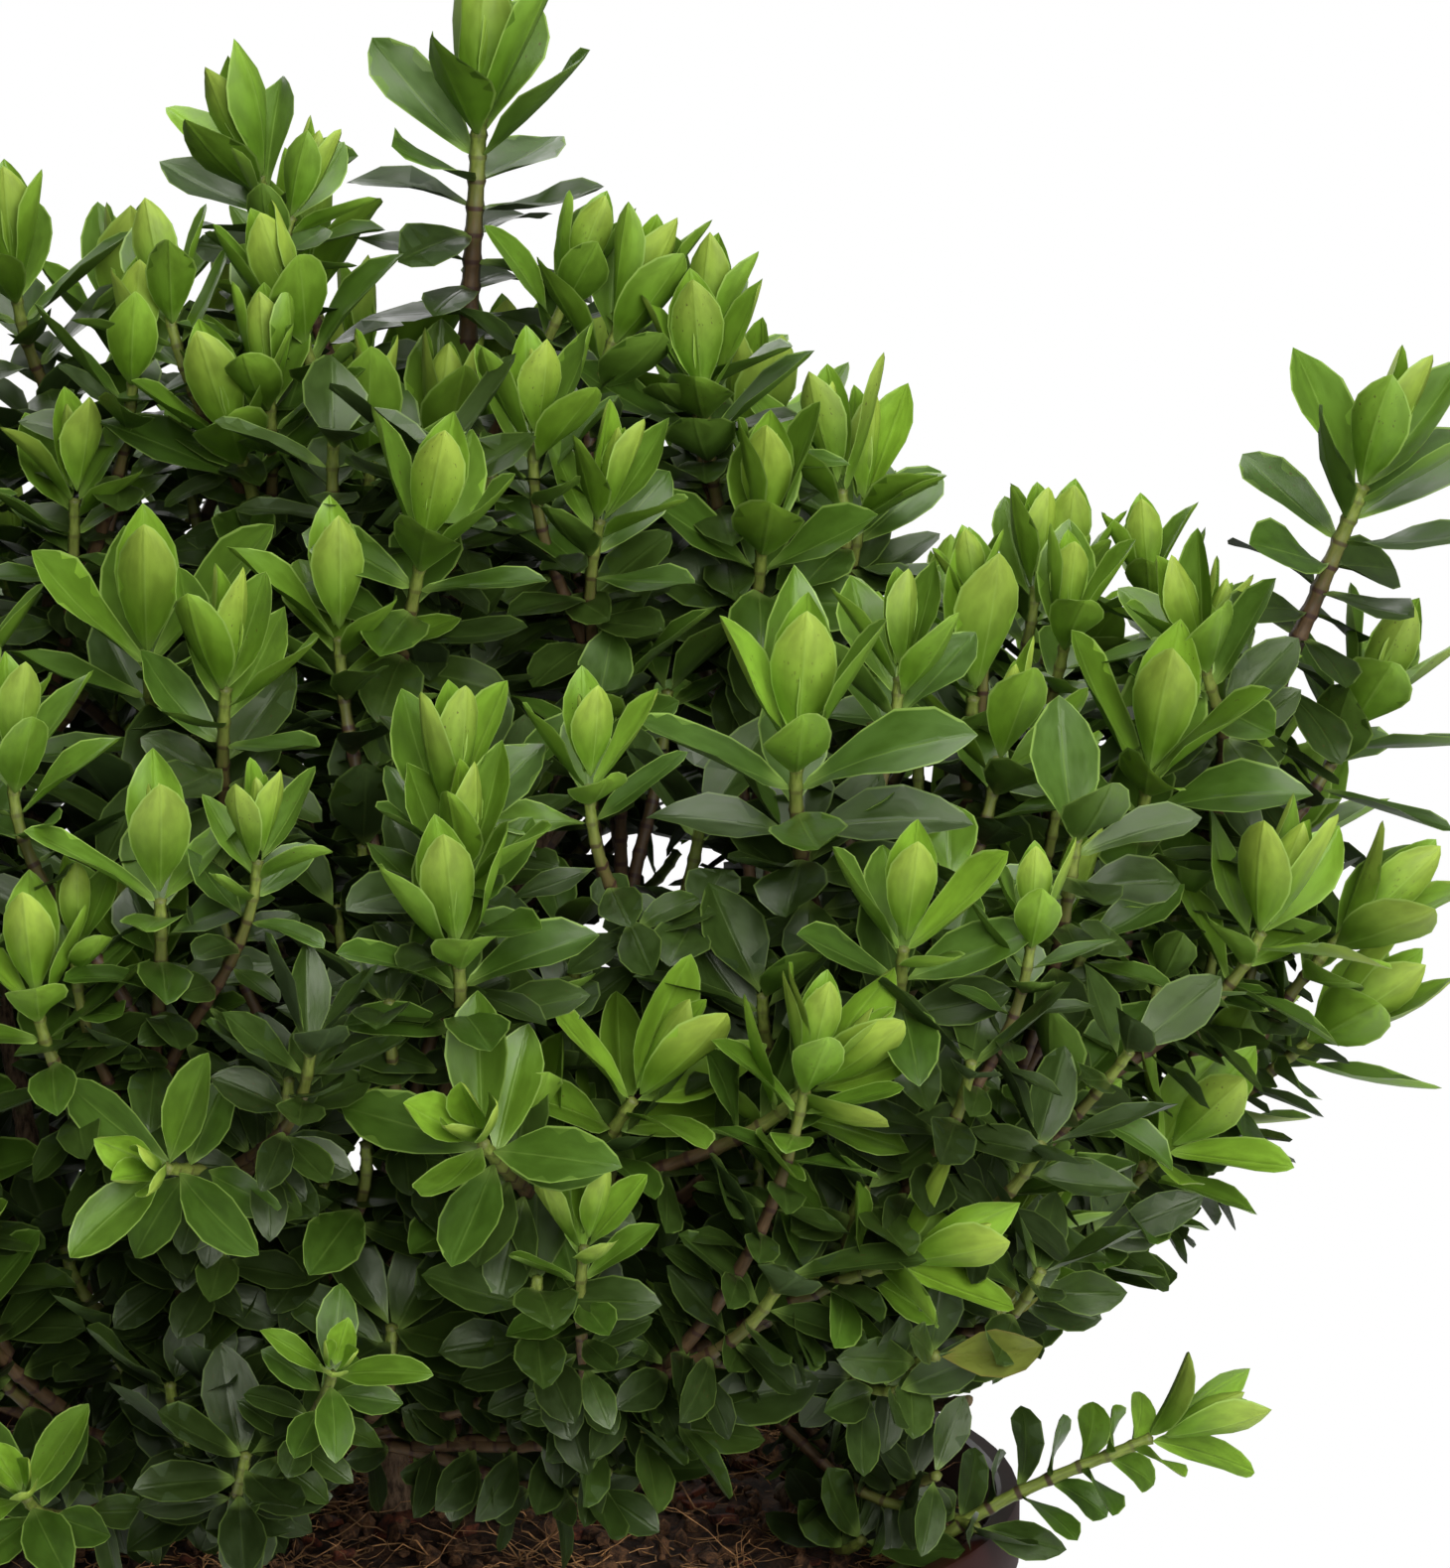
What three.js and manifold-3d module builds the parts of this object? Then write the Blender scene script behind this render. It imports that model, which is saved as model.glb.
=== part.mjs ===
// A hebe shrub in its nursery pot: pot, compost, stems, boughs and masses of foliage.
// Millimetres, +Z up, +Y to the back. The origin is the centre of the pot's flat underside.
import * as THREE from 'three';
import Module from 'manifold-3d';

const wasm = await Module();
wasm.setup();

// ---- driving dimensions ----
const GAP = 0.3; // air kept between pieces that touch

const POT_HEIGHT = 190;
const POT_RIM_RADIUS = 115.5;
const POT_BASE_RADIUS = 85;
const POT_WALL = 1.8;
const POT_FLOOR = 2.4;
const POT_LIP_HEIGHT = 13;
const POT_LIP_OUT = 2.4;
const POT_EDGE = 0.8; // rounding of the rim and the foot
const POT_SEGMENTS = 32;
const DRAIN_COUNT = 6;
const DRAIN_RADIUS = 5;
const DRAIN_CIRCLE = 66;
const DRAIN_SIDES = 8;

const COMPOST_EDGE = 180.5; // height of the compost against the pot wall
const COMPOST_MOUND = 4; // how much higher the middle stands
const COMPOST_ROUGH = 1.1;
const COMPOST_SEGMENTS = 24;
const COMPOST_RINGS = 5;
const FOOT_CLEAR = 14; // the compost is smooth this far round each stem foot

const STEM_SIDES = 8;
const BOUGH_SIDES = 6;
const STEM_STEPS = 5;
const BOUGH_STEPS = 3;
const BOUGH_TAPER = 0.36;
const BEND_RISE = 0.45; // where a bough bends, as a share of its rise and of its reach
const BEND_OUT = 0.6;
const FLARE = 1.55; // root flare: foot radius over stem radius
const FLARE_LENGTH = 0.18; // share of the stem's length that flares

const FINE_MESH = 3; // how often the faces of a mass are divided
const COARSE_MESH = 2;
const SMALL_MESH = 1;
const LOBE_HEIGHT = 0.16; // how far a shoot stands out of its mass, as a share of its radius
const LOBE_WIDTH = 0.06;
const LOBES_FINE = 7;
const LOBES_COARSE = 5;
const LOBE_SEED = 9176;
const LOBE_SEED_STEP = 131;
const LOBE_OUT = 0.006; // the lobes' lean away from the axis, for each millimetre from it
const LOBE_UP = 0.7;
const LOBE_SPREAD = 2.2;
const ROUGHNESS = 0.08; // the unevenness between the shoots
const RIPPLES = new THREE.Vector3(7.1, 6.3, 8.7);
const RIPPLE_SHIFT = new THREE.Vector3(1, -2, 0);
const MASS_SCALE = 0.95; // leaves room for the lobes inside the named size
const SIDEWAYS = 0.42; // how much wider a mass grows along the crown's surface than out of it
const CROWN_HEART = [-4, 0, 285]; // the masses grow out from here
const TRIM = 0.04; // detail under this size is dropped where a limb is cut

// The crown's outer shape: its radius at rising heights. Its upper part stands a little to the left.
const CROWN_HEIGHTS = [204, 220, 232, 250, 266, 290, 340, 356, 366, 374, 381, 397, 410, 422, 433, 446, 455];
const CROWN_RADII = [106, 130, 147, 161, 177, 189, 191, 184, 169, 151, 113, 98, 88, 75, 55, 30, 14];
const CROWN_SHIFT = -15;
const SHIFT_FROM = 345;
const SHIFT_OVER = 40;
const CROWN_STEPS = 40;
const CROWN_LOBES = 0.5; // how much of a mass's lobes shows in the crown's outline

// The bare stem of a tall shoot stands free of the foliage over this share of its bough.
const BARE_FROM = 0.74;
const BARE_CLEAR = 11;

// Stems: foot and tip on plan and in height over the compost, and the two radii.
const STEMS = {
  centre: { foot: [-1, 0], tip: [1, 3, 76], bend: [-2, -1, 40], thick: 3.3, thin: 2.5 },
  right: { foot: [74, 10], tip: [99, -4, 36], bend: [84, 4, 12], thick: 2.8, thin: 2.2 },
  left: { foot: [-34, -6], tip: [-61, -22, 48], bend: [-48, -10, 18], thick: 2.8, thin: 2.2 },
  back: { foot: [14, 34], tip: [20, 66, 54], bend: [16, 46, 24], thick: 2.8, thin: 2.2 },
  trailing: { foot: [88, -41], tip: [115, -39, 16], bend: [105, -40, 10], thick: 1.9, thin: 1.5 },
};

// Masses of foliage: centre, half sizes, the stem that bears each one, how far up that stem its
// bough leaves, and the bough's radius there. Fine masses have the closer mesh. Lone masses keep
// their own size outside the crown, own ones sit on their stem's tip, and the bough of a through
// mass runs up through the foliage, with open air round its upper end where the mass is bare.
const MASSES = {
  top_shoot: {
    at: [17, 0, 453],
    half: [20, 19, 21],
    stem: 'centre',
    from: 1.0,
    thick: 2.3,
    lone: true,
    through: true,
    bare: true,
  },
  upper_left: { at: [-35, -6, 406], half: [33, 36, 49], stem: 'centre', from: 0.92, thick: 2.1, fine: true },
  upper_right: { at: [52, -8, 390], half: [32, 36, 43], stem: 'centre', from: 0.86, thick: 2.1, fine: true },
  upper_front: { at: [2, -62, 368], half: [42, 38, 48], stem: 'centre', from: 0.8, thick: 2.1, fine: true },
  upper_back: { at: [-8, 58, 364], half: [42, 42, 44], stem: 'back', from: 1.0, thick: 2.1 },
  upper_far_left: { at: [-86, 2, 384], half: [32, 42, 52], stem: 'left', from: 1.0, thick: 2.0 },
  right_upper: { at: [120, -8, 336], half: [38, 46, 44], stem: 'centre', from: 0.72, thick: 2.1, fine: true },
  far_right_shoot: {
    at: [177, -6, 383],
    half: [20, 17, 22],
    stem: 'right',
    from: 0.9,
    thick: 2.1,
    lone: true,
    through: true,
    bare: true,
  },
  right_outer: {
    at: [161, -2, 300],
    half: [33, 46, 50],
    stem: 'right',
    from: 1.0,
    thick: 2.0,
    sag: -20,
    out: 0.3,
    through: true,
  },
  right_low: { at: [139, -14, 248], half: [39, 46, 36], stem: 'right', from: 0.8, thick: 1.9 },
  front_right: { at: [90, -104, 316], half: [46, 42, 54], stem: 'centre', from: 0.62, thick: 2.0, fine: true },
  front_right_low: { at: [80, -98, 243], half: [44, 40, 38], stem: 'right', from: 0.5, thick: 1.8 },
  front: { at: [0, -124, 334], half: [46, 42, 42], stem: 'centre', from: 0.55, thick: 2.0, fine: true },
  front_lower: { at: [4, -128, 276], half: [46, 40, 32], stem: 'centre', from: 0.4, thick: 1.9, fine: true },
  front_rosette: {
    at: [-17, -98, 231],
    half: [28, 23, 22],
    stem: 'left',
    from: 0.45,
    thick: 1.6,
    sag: 26,
    lone: true,
    small: true,
  },
  front_left: { at: [-90, -104, 320], half: [46, 44, 56], stem: 'left', from: 0.9, thick: 2.0, fine: true },
  front_left_low: { at: [-90, -90, 242], half: [44, 42, 38], stem: 'left', from: 0.7, thick: 1.8 },
  left: { at: [-146, -4, 322], half: [44, 50, 56], stem: 'left', from: 0.95, thick: 2.0 },
  left_low: { at: [-142, 4, 250], half: [44, 48, 38], stem: 'left', from: 0.6, thick: 1.8 },
  back_left: { at: [-92, 104, 320], half: [46, 46, 58], stem: 'back', from: 0.9, thick: 2.0 },
  back_left_low: { at: [-84, 94, 244], half: [46, 42, 38], stem: 'back', from: 0.6, thick: 1.8 },
  back: { at: [4, 138, 296], half: [48, 44, 66], stem: 'back', from: 0.95, thick: 2.0 },
  back_right: { at: [96, 98, 300], half: [46, 46, 48], stem: 'back', from: 0.85, thick: 2.0 },
  back_right_low: { at: [94, 90, 242], half: [46, 42, 38], stem: 'back', from: 0.5, thick: 1.8 },
  right_foot: {
    at: [104, -54, 219],
    half: [24, 22, 18],
    stem: 'right',
    from: 0.65,
    thick: 1.6,
    lone: true,
    small: true,
  },
  trailing_shoot: {
    at: [136, -37, 209],
    half: [27, 14, 13],
    turn: 4,
    rise: 23,
    stem: 'trailing',
    lone: true,
    small: true,
    own: true,
  },
};

const COLOURS = {
  pot: 0x3f1d18,
  compost: 0x2b1c12,
  stem: 0x4a3a1e,
  bough: 0x5f5a26,
  upper: 0x6a8c33,
  middle: 0x4d7029,
  low: 0x33512a,
};

// ---- small helpers ----
function makeRandom(seed) {
  let state = seed >>> 0;
  return () => {
    state = (state * 1664525 + 1013904223) >>> 0;
    return state / 4294967296;
  };
}

function solidFrom(verts, tris) {
  const mesh = new wasm.Mesh({
    numProp: 3,
    vertProperties: new Float32Array(verts.flat()),
    triVerts: new Uint32Array(tris.flat()),
  });
  return new wasm.Manifold(mesh);
}

// Of the loose bits that a cut leaves, the one that reaches nearest to a point.
function pieceAt(solid, point) {
  const pieces = solid.decompose();
  let best = pieces[0];
  let bestScore = -Infinity;
  for (const piece of pieces) {
    const box = piece.boundingBox();
    const away = [0, 1, 2].map((k) => Math.max(box.min[k] - point[k], point[k] - box.max[k], 0));
    const score = Math.cbrt(piece.volume()) - 2 * Math.hypot(...away);
    if (score > bestScore) {
      best = piece;
      bestScore = score;
    }
  }
  return best;
}

function overlaps(a, b) {
  const p = a.boundingBox();
  const q = b.boundingBox();
  return [0, 1, 2].every((k) => p.min[k] <= q.max[k] && q.min[k] <= p.max[k]);
}

function cutBy(solid, cutters) {
  let left = solid;
  for (const cutter of cutters) {
    if (overlaps(left, cutter)) {
      left = left.subtract(cutter);
    }
  }
  return left;
}

const group = new THREE.Group();

function addMesh(name, solid, colour, roughness) {
  const mesh = solid.getMesh();
  const geometry = new THREE.BufferGeometry();
  geometry.setAttribute('position', new THREE.BufferAttribute(new Float32Array(mesh.vertProperties), 3));
  geometry.setIndex(new THREE.BufferAttribute(new Uint32Array(mesh.triVerts), 1));
  geometry.computeVertexNormals();
  const material = new THREE.MeshStandardMaterial({ color: colour, roughness, metalness: 0 });
  const node = new THREE.Mesh(geometry, material);
  node.name = name;
  group.add(node);
}

// ---- pot and compost ----
// A closed profile from axis to axis, turned about Z. Its rings run from the first point to the last.
function revolve(profile, segments) {
  const verts = [[0, 0, profile[0][1]]];
  const tris = [];
  const rings = profile.slice(1, -1);
  for (const [radius, z] of rings) {
    for (let k = 0; k < segments; k += 1) {
      const turn = (k / segments) * 2 * Math.PI;
      verts.push([radius * Math.cos(turn), radius * Math.sin(turn), z]);
    }
  }
  verts.push([0, 0, profile[profile.length - 1][1]]);
  const end = verts.length - 1;
  for (let k = 0; k < segments; k += 1) {
    const next = (k + 1) % segments;
    tris.push([0, 1 + next, 1 + k]);
    for (let ring = 0; ring < rings.length - 1; ring += 1) {
      const a = 1 + ring * segments;
      const b = a + segments;
      tris.push([a + k, a + next, b + next]);
      tris.push([a + k, b + next, b + k]);
    }
    const last = 1 + (rings.length - 1) * segments;
    tris.push([last + k, last + next, end]);
  }
  return { verts, tris };
}

function wallRadius(z) {
  const top = POT_RIM_RADIUS - POT_LIP_OUT;
  return POT_BASE_RADIUS + ((top - POT_BASE_RADIUS) * z) / POT_HEIGHT;
}

function makePot() {
  const lipFoot = POT_HEIGHT - POT_LIP_HEIGHT;
  const body = revolve([
    [0, 0],
    [POT_BASE_RADIUS - POT_EDGE * 2, 0],
    [wallRadius(POT_EDGE * 2), POT_EDGE * 2],
    [wallRadius(lipFoot), lipFoot],
    [POT_RIM_RADIUS - POT_EDGE, lipFoot],
    [POT_RIM_RADIUS, lipFoot + POT_EDGE],
    [POT_RIM_RADIUS, POT_HEIGHT - POT_EDGE],
    [POT_RIM_RADIUS - POT_EDGE, POT_HEIGHT],
    [wallRadius(POT_HEIGHT) - POT_WALL + POT_EDGE, POT_HEIGHT],
    [wallRadius(POT_HEIGHT) - POT_WALL, POT_HEIGHT - POT_EDGE],
    [wallRadius(POT_FLOOR) - POT_WALL, POT_FLOOR],
    [0, POT_FLOOR],
  ], POT_SEGMENTS);
  let pot = solidFrom(body.verts, body.tris);
  const drill = revolve([
    [0, -POT_FLOOR],
    [DRAIN_RADIUS, -POT_FLOOR],
    [DRAIN_RADIUS, POT_FLOOR * 2],
    [0, POT_FLOOR * 2],
  ], DRAIN_SIDES);
  for (let k = 0; k < DRAIN_COUNT; k += 1) {
    const turn = ((k + 0.5) / DRAIN_COUNT) * 2 * Math.PI;
    const x = DRAIN_CIRCLE * Math.cos(turn);
    const y = DRAIN_CIRCLE * Math.sin(turn);
    pot = pot.subtract(solidFrom(drill.verts, drill.tris).translate([x, y, 0]));
  }
  return pot;
}

// Height of the compost at a point on plan, smooth close to a stem foot.
function compostHeight(x, y) {
  const inner = wallRadius(COMPOST_EDGE) - POT_WALL;
  const out = Math.hypot(x, y) / inner;
  const mound = COMPOST_MOUND * (1 - out * out);
  const wave = Math.sin(x * 0.081 + 1.3) * Math.cos(y * 0.067 - 0.4) + 0.6 * Math.sin((x + y) * 0.13);
  let calm = 1;
  for (const stem of Object.values(STEMS)) {
    const away = Math.hypot(x - stem.foot[0], y - stem.foot[1]);
    calm = Math.min(calm, Math.max(0, (away - FOOT_CLEAR) / FOOT_CLEAR));
  }
  return COMPOST_EDGE + mound + COMPOST_ROUGH * wave * calm * (1 - out ** 4);
}

function makeCompost() {
  const floor = POT_FLOOR + GAP;
  const profile = [
    [0, floor],
    [wallRadius(floor) - POT_WALL - GAP * 1.5, floor],
    [wallRadius(COMPOST_EDGE) - POT_WALL - GAP * 1.5, COMPOST_EDGE],
  ];
  const outer = profile[2][0];
  for (let ring = COMPOST_RINGS - 1; ring > 0; ring -= 1) {
    profile.push([(outer * ring) / COMPOST_RINGS, COMPOST_EDGE]);
  }
  profile.push([0, COMPOST_EDGE]);
  const body = revolve(profile, COMPOST_SEGMENTS);
  for (const vert of body.verts) {
    if (vert[2] === COMPOST_EDGE) {
      vert[2] = compostHeight(vert[0], vert[1]);
    }
  }
  return solidFrom(body.verts, body.tris);
}

// ---- limbs ----
function pathOf(curve) {
  return new THREE.QuadraticBezierCurve3(
    new THREE.Vector3(...curve.start),
    new THREE.Vector3(...curve.bend),
    new THREE.Vector3(...curve.end),
  );
}

// A round limb along a curve through three points, with a radius for each step.
function limb(curve, radiusAt, sides, steps, grow) {
  const path = pathOf(curve);
  const verts = [];
  const tris = [];
  const side = new THREE.Vector3(1, 0.3, 0).normalize();
  for (let step = 0; step <= steps; step += 1) {
    const along = step / steps;
    const centre = path.getPoint(along);
    const heading = path.getTangent(along);
    if (step === 0 && radiusAt.flatFoot) {
      heading.set(0, 0, 1);
    }
    const right = side.clone().addScaledVector(heading, -side.dot(heading)).normalize();
    const up = heading.clone().cross(right);
    side.copy(right);
    if (step === 0) {
      centre.addScaledVector(heading, -grow);
    }
    if (step === steps) {
      centre.addScaledVector(heading, grow);
    }
    const radius = radiusAt(along) + grow;
    for (let k = 0; k < sides; k += 1) {
      const turn = (k / sides) * 2 * Math.PI;
      const rim = centre.clone();
      rim.addScaledVector(right, radius * Math.cos(turn));
      rim.addScaledVector(up, radius * Math.sin(turn));
      verts.push(rim.toArray());
    }
  }
  for (let step = 0; step < steps; step += 1) {
    for (let k = 0; k < sides; k += 1) {
      const a = step * sides + k;
      const b = step * sides + ((k + 1) % sides);
      tris.push([a, b, b + sides]);
      tris.push([a, b + sides, a + sides]);
    }
  }
  const last = steps * sides;
  for (let k = 1; k < sides - 1; k += 1) {
    tris.push([0, k + 1, k]);
    tris.push([last, last + k, last + k + 1]);
  }
  return solidFrom(verts, tris);
}

// A stem's curve, from the highest compost under its flat foot.
function stemCurve(stem) {
  const reach = stem.thick * FLARE;
  let ground = -Infinity;
  for (let k = 0; k < STEM_SIDES; k += 1) {
    const turn = (k / STEM_SIDES) * 2 * Math.PI;
    const x = stem.foot[0] + reach * Math.cos(turn);
    const y = stem.foot[1] + reach * Math.sin(turn);
    ground = Math.max(ground, compostHeight(x, y));
  }
  ground = Math.max(ground, compostHeight(stem.foot[0], stem.foot[1])) + GAP;
  const base = COMPOST_EDGE + COMPOST_MOUND;
  return {
    start: [stem.foot[0], stem.foot[1], ground],
    bend: [stem.bend[0], stem.bend[1], base + stem.bend[2]],
    end: [stem.tip[0], stem.tip[1], base + stem.tip[2]],
  };
}

function stemLimb(stem, grow) {
  const radiusAt = (along) => {
    const flare = 1 + (FLARE - 1) * Math.max(0, 1 - along / FLARE_LENGTH) ** 2;
    return (stem.thick + (stem.thin - stem.thick) * along) * flare;
  };
  radiusAt.flatFoot = true;
  return limb(stemCurve(stem), radiusAt, STEM_SIDES, STEM_STEPS, grow);
}

function stemPoint(stem, share) {
  return pathOf(stemCurve(stem)).getPoint(share).toArray();
}

// A bough leaves its stem upwards and swings out to the middle of its mass.
function boughLimb(mass, grow, bare = 0) {
  const start = stemPoint(STEMS[mass.stem], mass.from);
  const end = mass.at;
  const shares = [mass.out ?? BEND_OUT, mass.out ?? BEND_OUT, BEND_RISE];
  const bend = shares.map((share, k) => start[k] + (end[k] - start[k]) * share);
  bend[2] -= mass.sag ?? 0;
  const radiusAt = (along) => {
    const open = THREE.MathUtils.smoothstep(along, BARE_FROM, 1);
    return mass.thick * (1 - BOUGH_TAPER * along) + bare * open;
  };
  const steps = mass.through ? BOUGH_STEPS + 2 : BOUGH_STEPS;
  return limb({ start, bend, end }, radiusAt, BOUGH_SIDES, steps, grow);
}

// ---- masses of foliage ----
function makeLobes(mass, index) {
  const random = makeRandom(LOBE_SEED + index * LOBE_SEED_STEP);
  const count = mass.fine ? LOBES_FINE : LOBES_COARSE;
  const outward = new THREE.Vector3(mass.at[0], mass.at[1], 0).multiplyScalar(LOBE_OUT);
  outward.z = LOBE_UP;
  const lobes = [];
  for (let k = 0; k < count; k += 1) {
    const lean = new THREE.Vector3(random() - 0.5, random() - 0.5, random() - 0.5).multiplyScalar(LOBE_SPREAD);
    lobes.push(lean.add(outward).normalize());
  }
  return lobes;
}

function meanHalf(mass) {
  return (mass.half[0] + mass.half[1] + mass.half[2]) / 3;
}

// The crown's radius at a height, between the named ones.
function crownRadius(z) {
  const top = CROWN_HEIGHTS.length - 1;
  if (z <= CROWN_HEIGHTS[0] || z >= CROWN_HEIGHTS[top]) {
    return 0;
  }
  const row = CROWN_HEIGHTS.findIndex((height) => height > z);
  const share = (z - CROWN_HEIGHTS[row - 1]) / (CROWN_HEIGHTS[row] - CROWN_HEIGHTS[row - 1]);
  return CROWN_RADII[row - 1] + (CROWN_RADII[row] - CROWN_RADII[row - 1]) * share;
}

function insideCrown(point, swell) {
  const shift = CROWN_SHIFT * THREE.MathUtils.smoothstep(point.z, SHIFT_FROM, SHIFT_FROM + SHIFT_OVER);
  return Math.hypot(point.x - shift, point.y) < crownRadius(point.z) * swell;
}

// How far a ray from a mass's centre runs before it leaves the crown.
function crownReach(centre, way, longest, swell) {
  for (let step = 1; step <= CROWN_STEPS; step += 1) {
    const reach = (longest * step) / CROWN_STEPS;
    if (!insideCrown(centre.clone().addScaledVector(way, reach), swell)) {
      return (longest * (step - 0.5)) / CROWN_STEPS;
    }
  }
  return longest;
}

// The planes that part a mass from each of its neighbours.
function cellPlanes(name) {
  const mass = MASSES[name];
  const centre = new THREE.Vector3(...mass.at);
  const planes = [];
  for (const [other, near] of Object.entries(MASSES)) {
    if (other !== name) {
      const normal = new THREE.Vector3(...near.at).sub(centre);
      const apart = normal.length();
      const power = meanHalf(mass) ** 2 - meanHalf(near) ** 2;
      planes.push({ normal: normal.normalize(), reach: (apart * apart + power) / (2 * apart) - GAP / 2 });
    }
  }
  return planes;
}

function massSolid(name, index, grow) {
  const mass = MASSES[name];
  const fineness = mass.fine ? FINE_MESH : COARSE_MESH;
  const sphere = new THREE.IcosahedronGeometry(1, mass.small ? SMALL_MESH : fineness);
  const spots = sphere.getAttribute('position');
  const lobes = makeLobes(mass, index);
  const planes = cellPlanes(name);
  const centre = new THREE.Vector3(...mass.at);
  const outward = centre.clone().sub(new THREE.Vector3(...CROWN_HEART)).normalize();
  const turn = new THREE.Quaternion().setFromEuler(new THREE.Euler(
    0,
    THREE.MathUtils.degToRad(-(mass.rise ?? 0)),
    THREE.MathUtils.degToRad(mass.turn ?? 0),
    'ZYX',
  ));
  const back = turn.clone().invert();
  const verts = [];
  const tris = [];
  const seen = new Map();
  for (let k = 0; k < spots.count; k += 1) {
    const way = new THREE.Vector3().fromBufferAttribute(spots, k).normalize();
    const key = way.toArray().map((value) => Math.round(value * 1e4)).join();
    if (!seen.has(key)) {
      seen.set(key, verts.length);
      const local = way.clone().applyQuaternion(back);
      const flat = local.divide(new THREE.Vector3(...mass.half));
      const waves = way.clone().multiply(RIPPLES).addScaledVector(RIPPLE_SHIFT, index);
      const ripple = Math.sin(waves.x) + Math.sin(waves.y) + Math.sin(waves.z);
      let swell = 1 + (ROUGHNESS * ripple) / 3 - ROUGHNESS / 2;
      for (const lobe of lobes) {
        swell += LOBE_HEIGHT * Math.exp((way.dot(lobe) - 1) / LOBE_WIDTH);
      }
      let radius = (MASS_SCALE * swell) / flat.length();
      if (!mass.lone) {
        radius *= 1 + SIDEWAYS * (1 - way.dot(outward) ** 2) ** 1.5;
        radius = crownReach(centre, way, radius, 1 + (swell - 1) * CROWN_LOBES);
      }
      for (const plane of planes) {
        const facing = way.dot(plane.normal);
        if (facing > 0) {
          radius = Math.min(radius, plane.reach / facing);
        }
      }
      verts.push(way.multiplyScalar(radius + grow).add(centre).toArray());
    }
    tris.push(seen.get(key));
  }
  const faces = [];
  for (let k = 0; k < tris.length; k += 3) {
    faces.push([tris[k], tris[k + 1], tris[k + 2]]);
  }
  return solidFrom(verts, faces);
}

function leafColour(mass) {
  if (mass.at[2] > 340) {
    return COLOURS.upper;
  }
  return mass.at[2] > 270 ? COLOURS.middle : COLOURS.low;
}

// ---- assembly ----
addMesh('pot', makePot(), COLOURS.pot, 0.45);
addMesh('compost', makeCompost(), COLOURS.compost, 0.95);

const names = Object.keys(MASSES);
const swollen = {};
const leafy = {};
names.forEach((name, index) => {
  leafy[name] = massSolid(name, index, 0);
  swollen[name] = massSolid(name, index, GAP * 1.15);
});

const stemsGrown = Object.values(STEMS).map((stem) => stemLimb(stem, GAP));
const limbsGrown = [...stemsGrown];

for (const [name, stem] of Object.entries(STEMS)) {
  const whole = cutBy(stemLimb(stem, 0), Object.values(swollen));
  addMesh(`stem_${name}`, pieceAt(whole, stemCurve(stem).start), COLOURS.stem, 0.8);
}

// Three boughs run up through the foliage, so the masses are cut round them.
const passing = names.filter((name) => MASSES[name].through);
const bearing = names.filter((name) => !MASSES[name].through && !MASSES[name].own);

for (const name of passing) {
  const mass = MASSES[name];
  const whole = boughLimb(mass, 0).subtract(swollen[name]);
  const clear = cutBy(whole, limbsGrown);
  addMesh(`bough_${name}`, pieceAt(clear, mass.at).simplify(TRIM), COLOURS.bough, 0.75);
  limbsGrown.push(boughLimb(mass, GAP));
}

const through = passing.map((name) => boughLimb(MASSES[name], GAP, MASSES[name].bare ? BARE_CLEAR : 0));
const masses = {};
for (const name of names) {
  const others = through.filter((limbSolid, k) => passing[k] !== name);
  masses[name] = pieceAt(cutBy(leafy[name], others), MASSES[name].at);
}

for (const name of bearing) {
  const mass = MASSES[name];
  const clear = cutBy(cutBy(boughLimb(mass, 0), Object.values(swollen)), limbsGrown);
  const whole = pieceAt(clear, stemPoint(STEMS[mass.stem], mass.from));
  addMesh(`bough_${name}`, whole.simplify(TRIM), COLOURS.bough, 0.75);
  limbsGrown.push(boughLimb(mass, GAP));
}

for (const name of names) {
  addMesh(`foliage_${name}`, masses[name], leafColour(MASSES[name]), 0.7);
}

export default group;
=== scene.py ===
"""A hebe shrub in its nursery pot: bark, shoots, leaves, compost and pot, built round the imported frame.

Metres, +Z up, +Y to the back. The origin is the centre of the pot's flat underside.
"""

import math
from collections import Counter, namedtuple

import bmesh
import bpy
import numpy as np
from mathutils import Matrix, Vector
from mathutils.bvhtree import BVHTree


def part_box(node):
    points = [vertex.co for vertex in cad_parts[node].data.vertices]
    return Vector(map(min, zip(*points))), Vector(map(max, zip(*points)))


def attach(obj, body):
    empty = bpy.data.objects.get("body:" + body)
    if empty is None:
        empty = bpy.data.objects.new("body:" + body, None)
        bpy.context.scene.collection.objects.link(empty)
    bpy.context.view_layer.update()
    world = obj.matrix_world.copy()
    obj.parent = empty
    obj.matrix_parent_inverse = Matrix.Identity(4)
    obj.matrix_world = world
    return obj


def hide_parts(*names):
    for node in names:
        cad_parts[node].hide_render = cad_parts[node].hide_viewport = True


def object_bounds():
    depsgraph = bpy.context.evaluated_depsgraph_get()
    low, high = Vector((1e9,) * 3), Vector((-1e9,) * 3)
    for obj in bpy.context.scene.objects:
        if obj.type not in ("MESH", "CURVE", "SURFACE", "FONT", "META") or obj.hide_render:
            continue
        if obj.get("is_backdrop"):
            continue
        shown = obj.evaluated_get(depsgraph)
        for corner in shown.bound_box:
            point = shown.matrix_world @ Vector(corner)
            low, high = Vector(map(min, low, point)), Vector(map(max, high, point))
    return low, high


bl_info = {
    "name": "Potted hebe shrub",
    "version": (1, 0, 0),
    "blender": (4, 5, 0),
    "location": "3D View > Sidebar > Hebe",
    "description": "Bark, shoots, leaves, compost and pot of a hebe shrub",
    "category": "Add Mesh",
}

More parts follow.
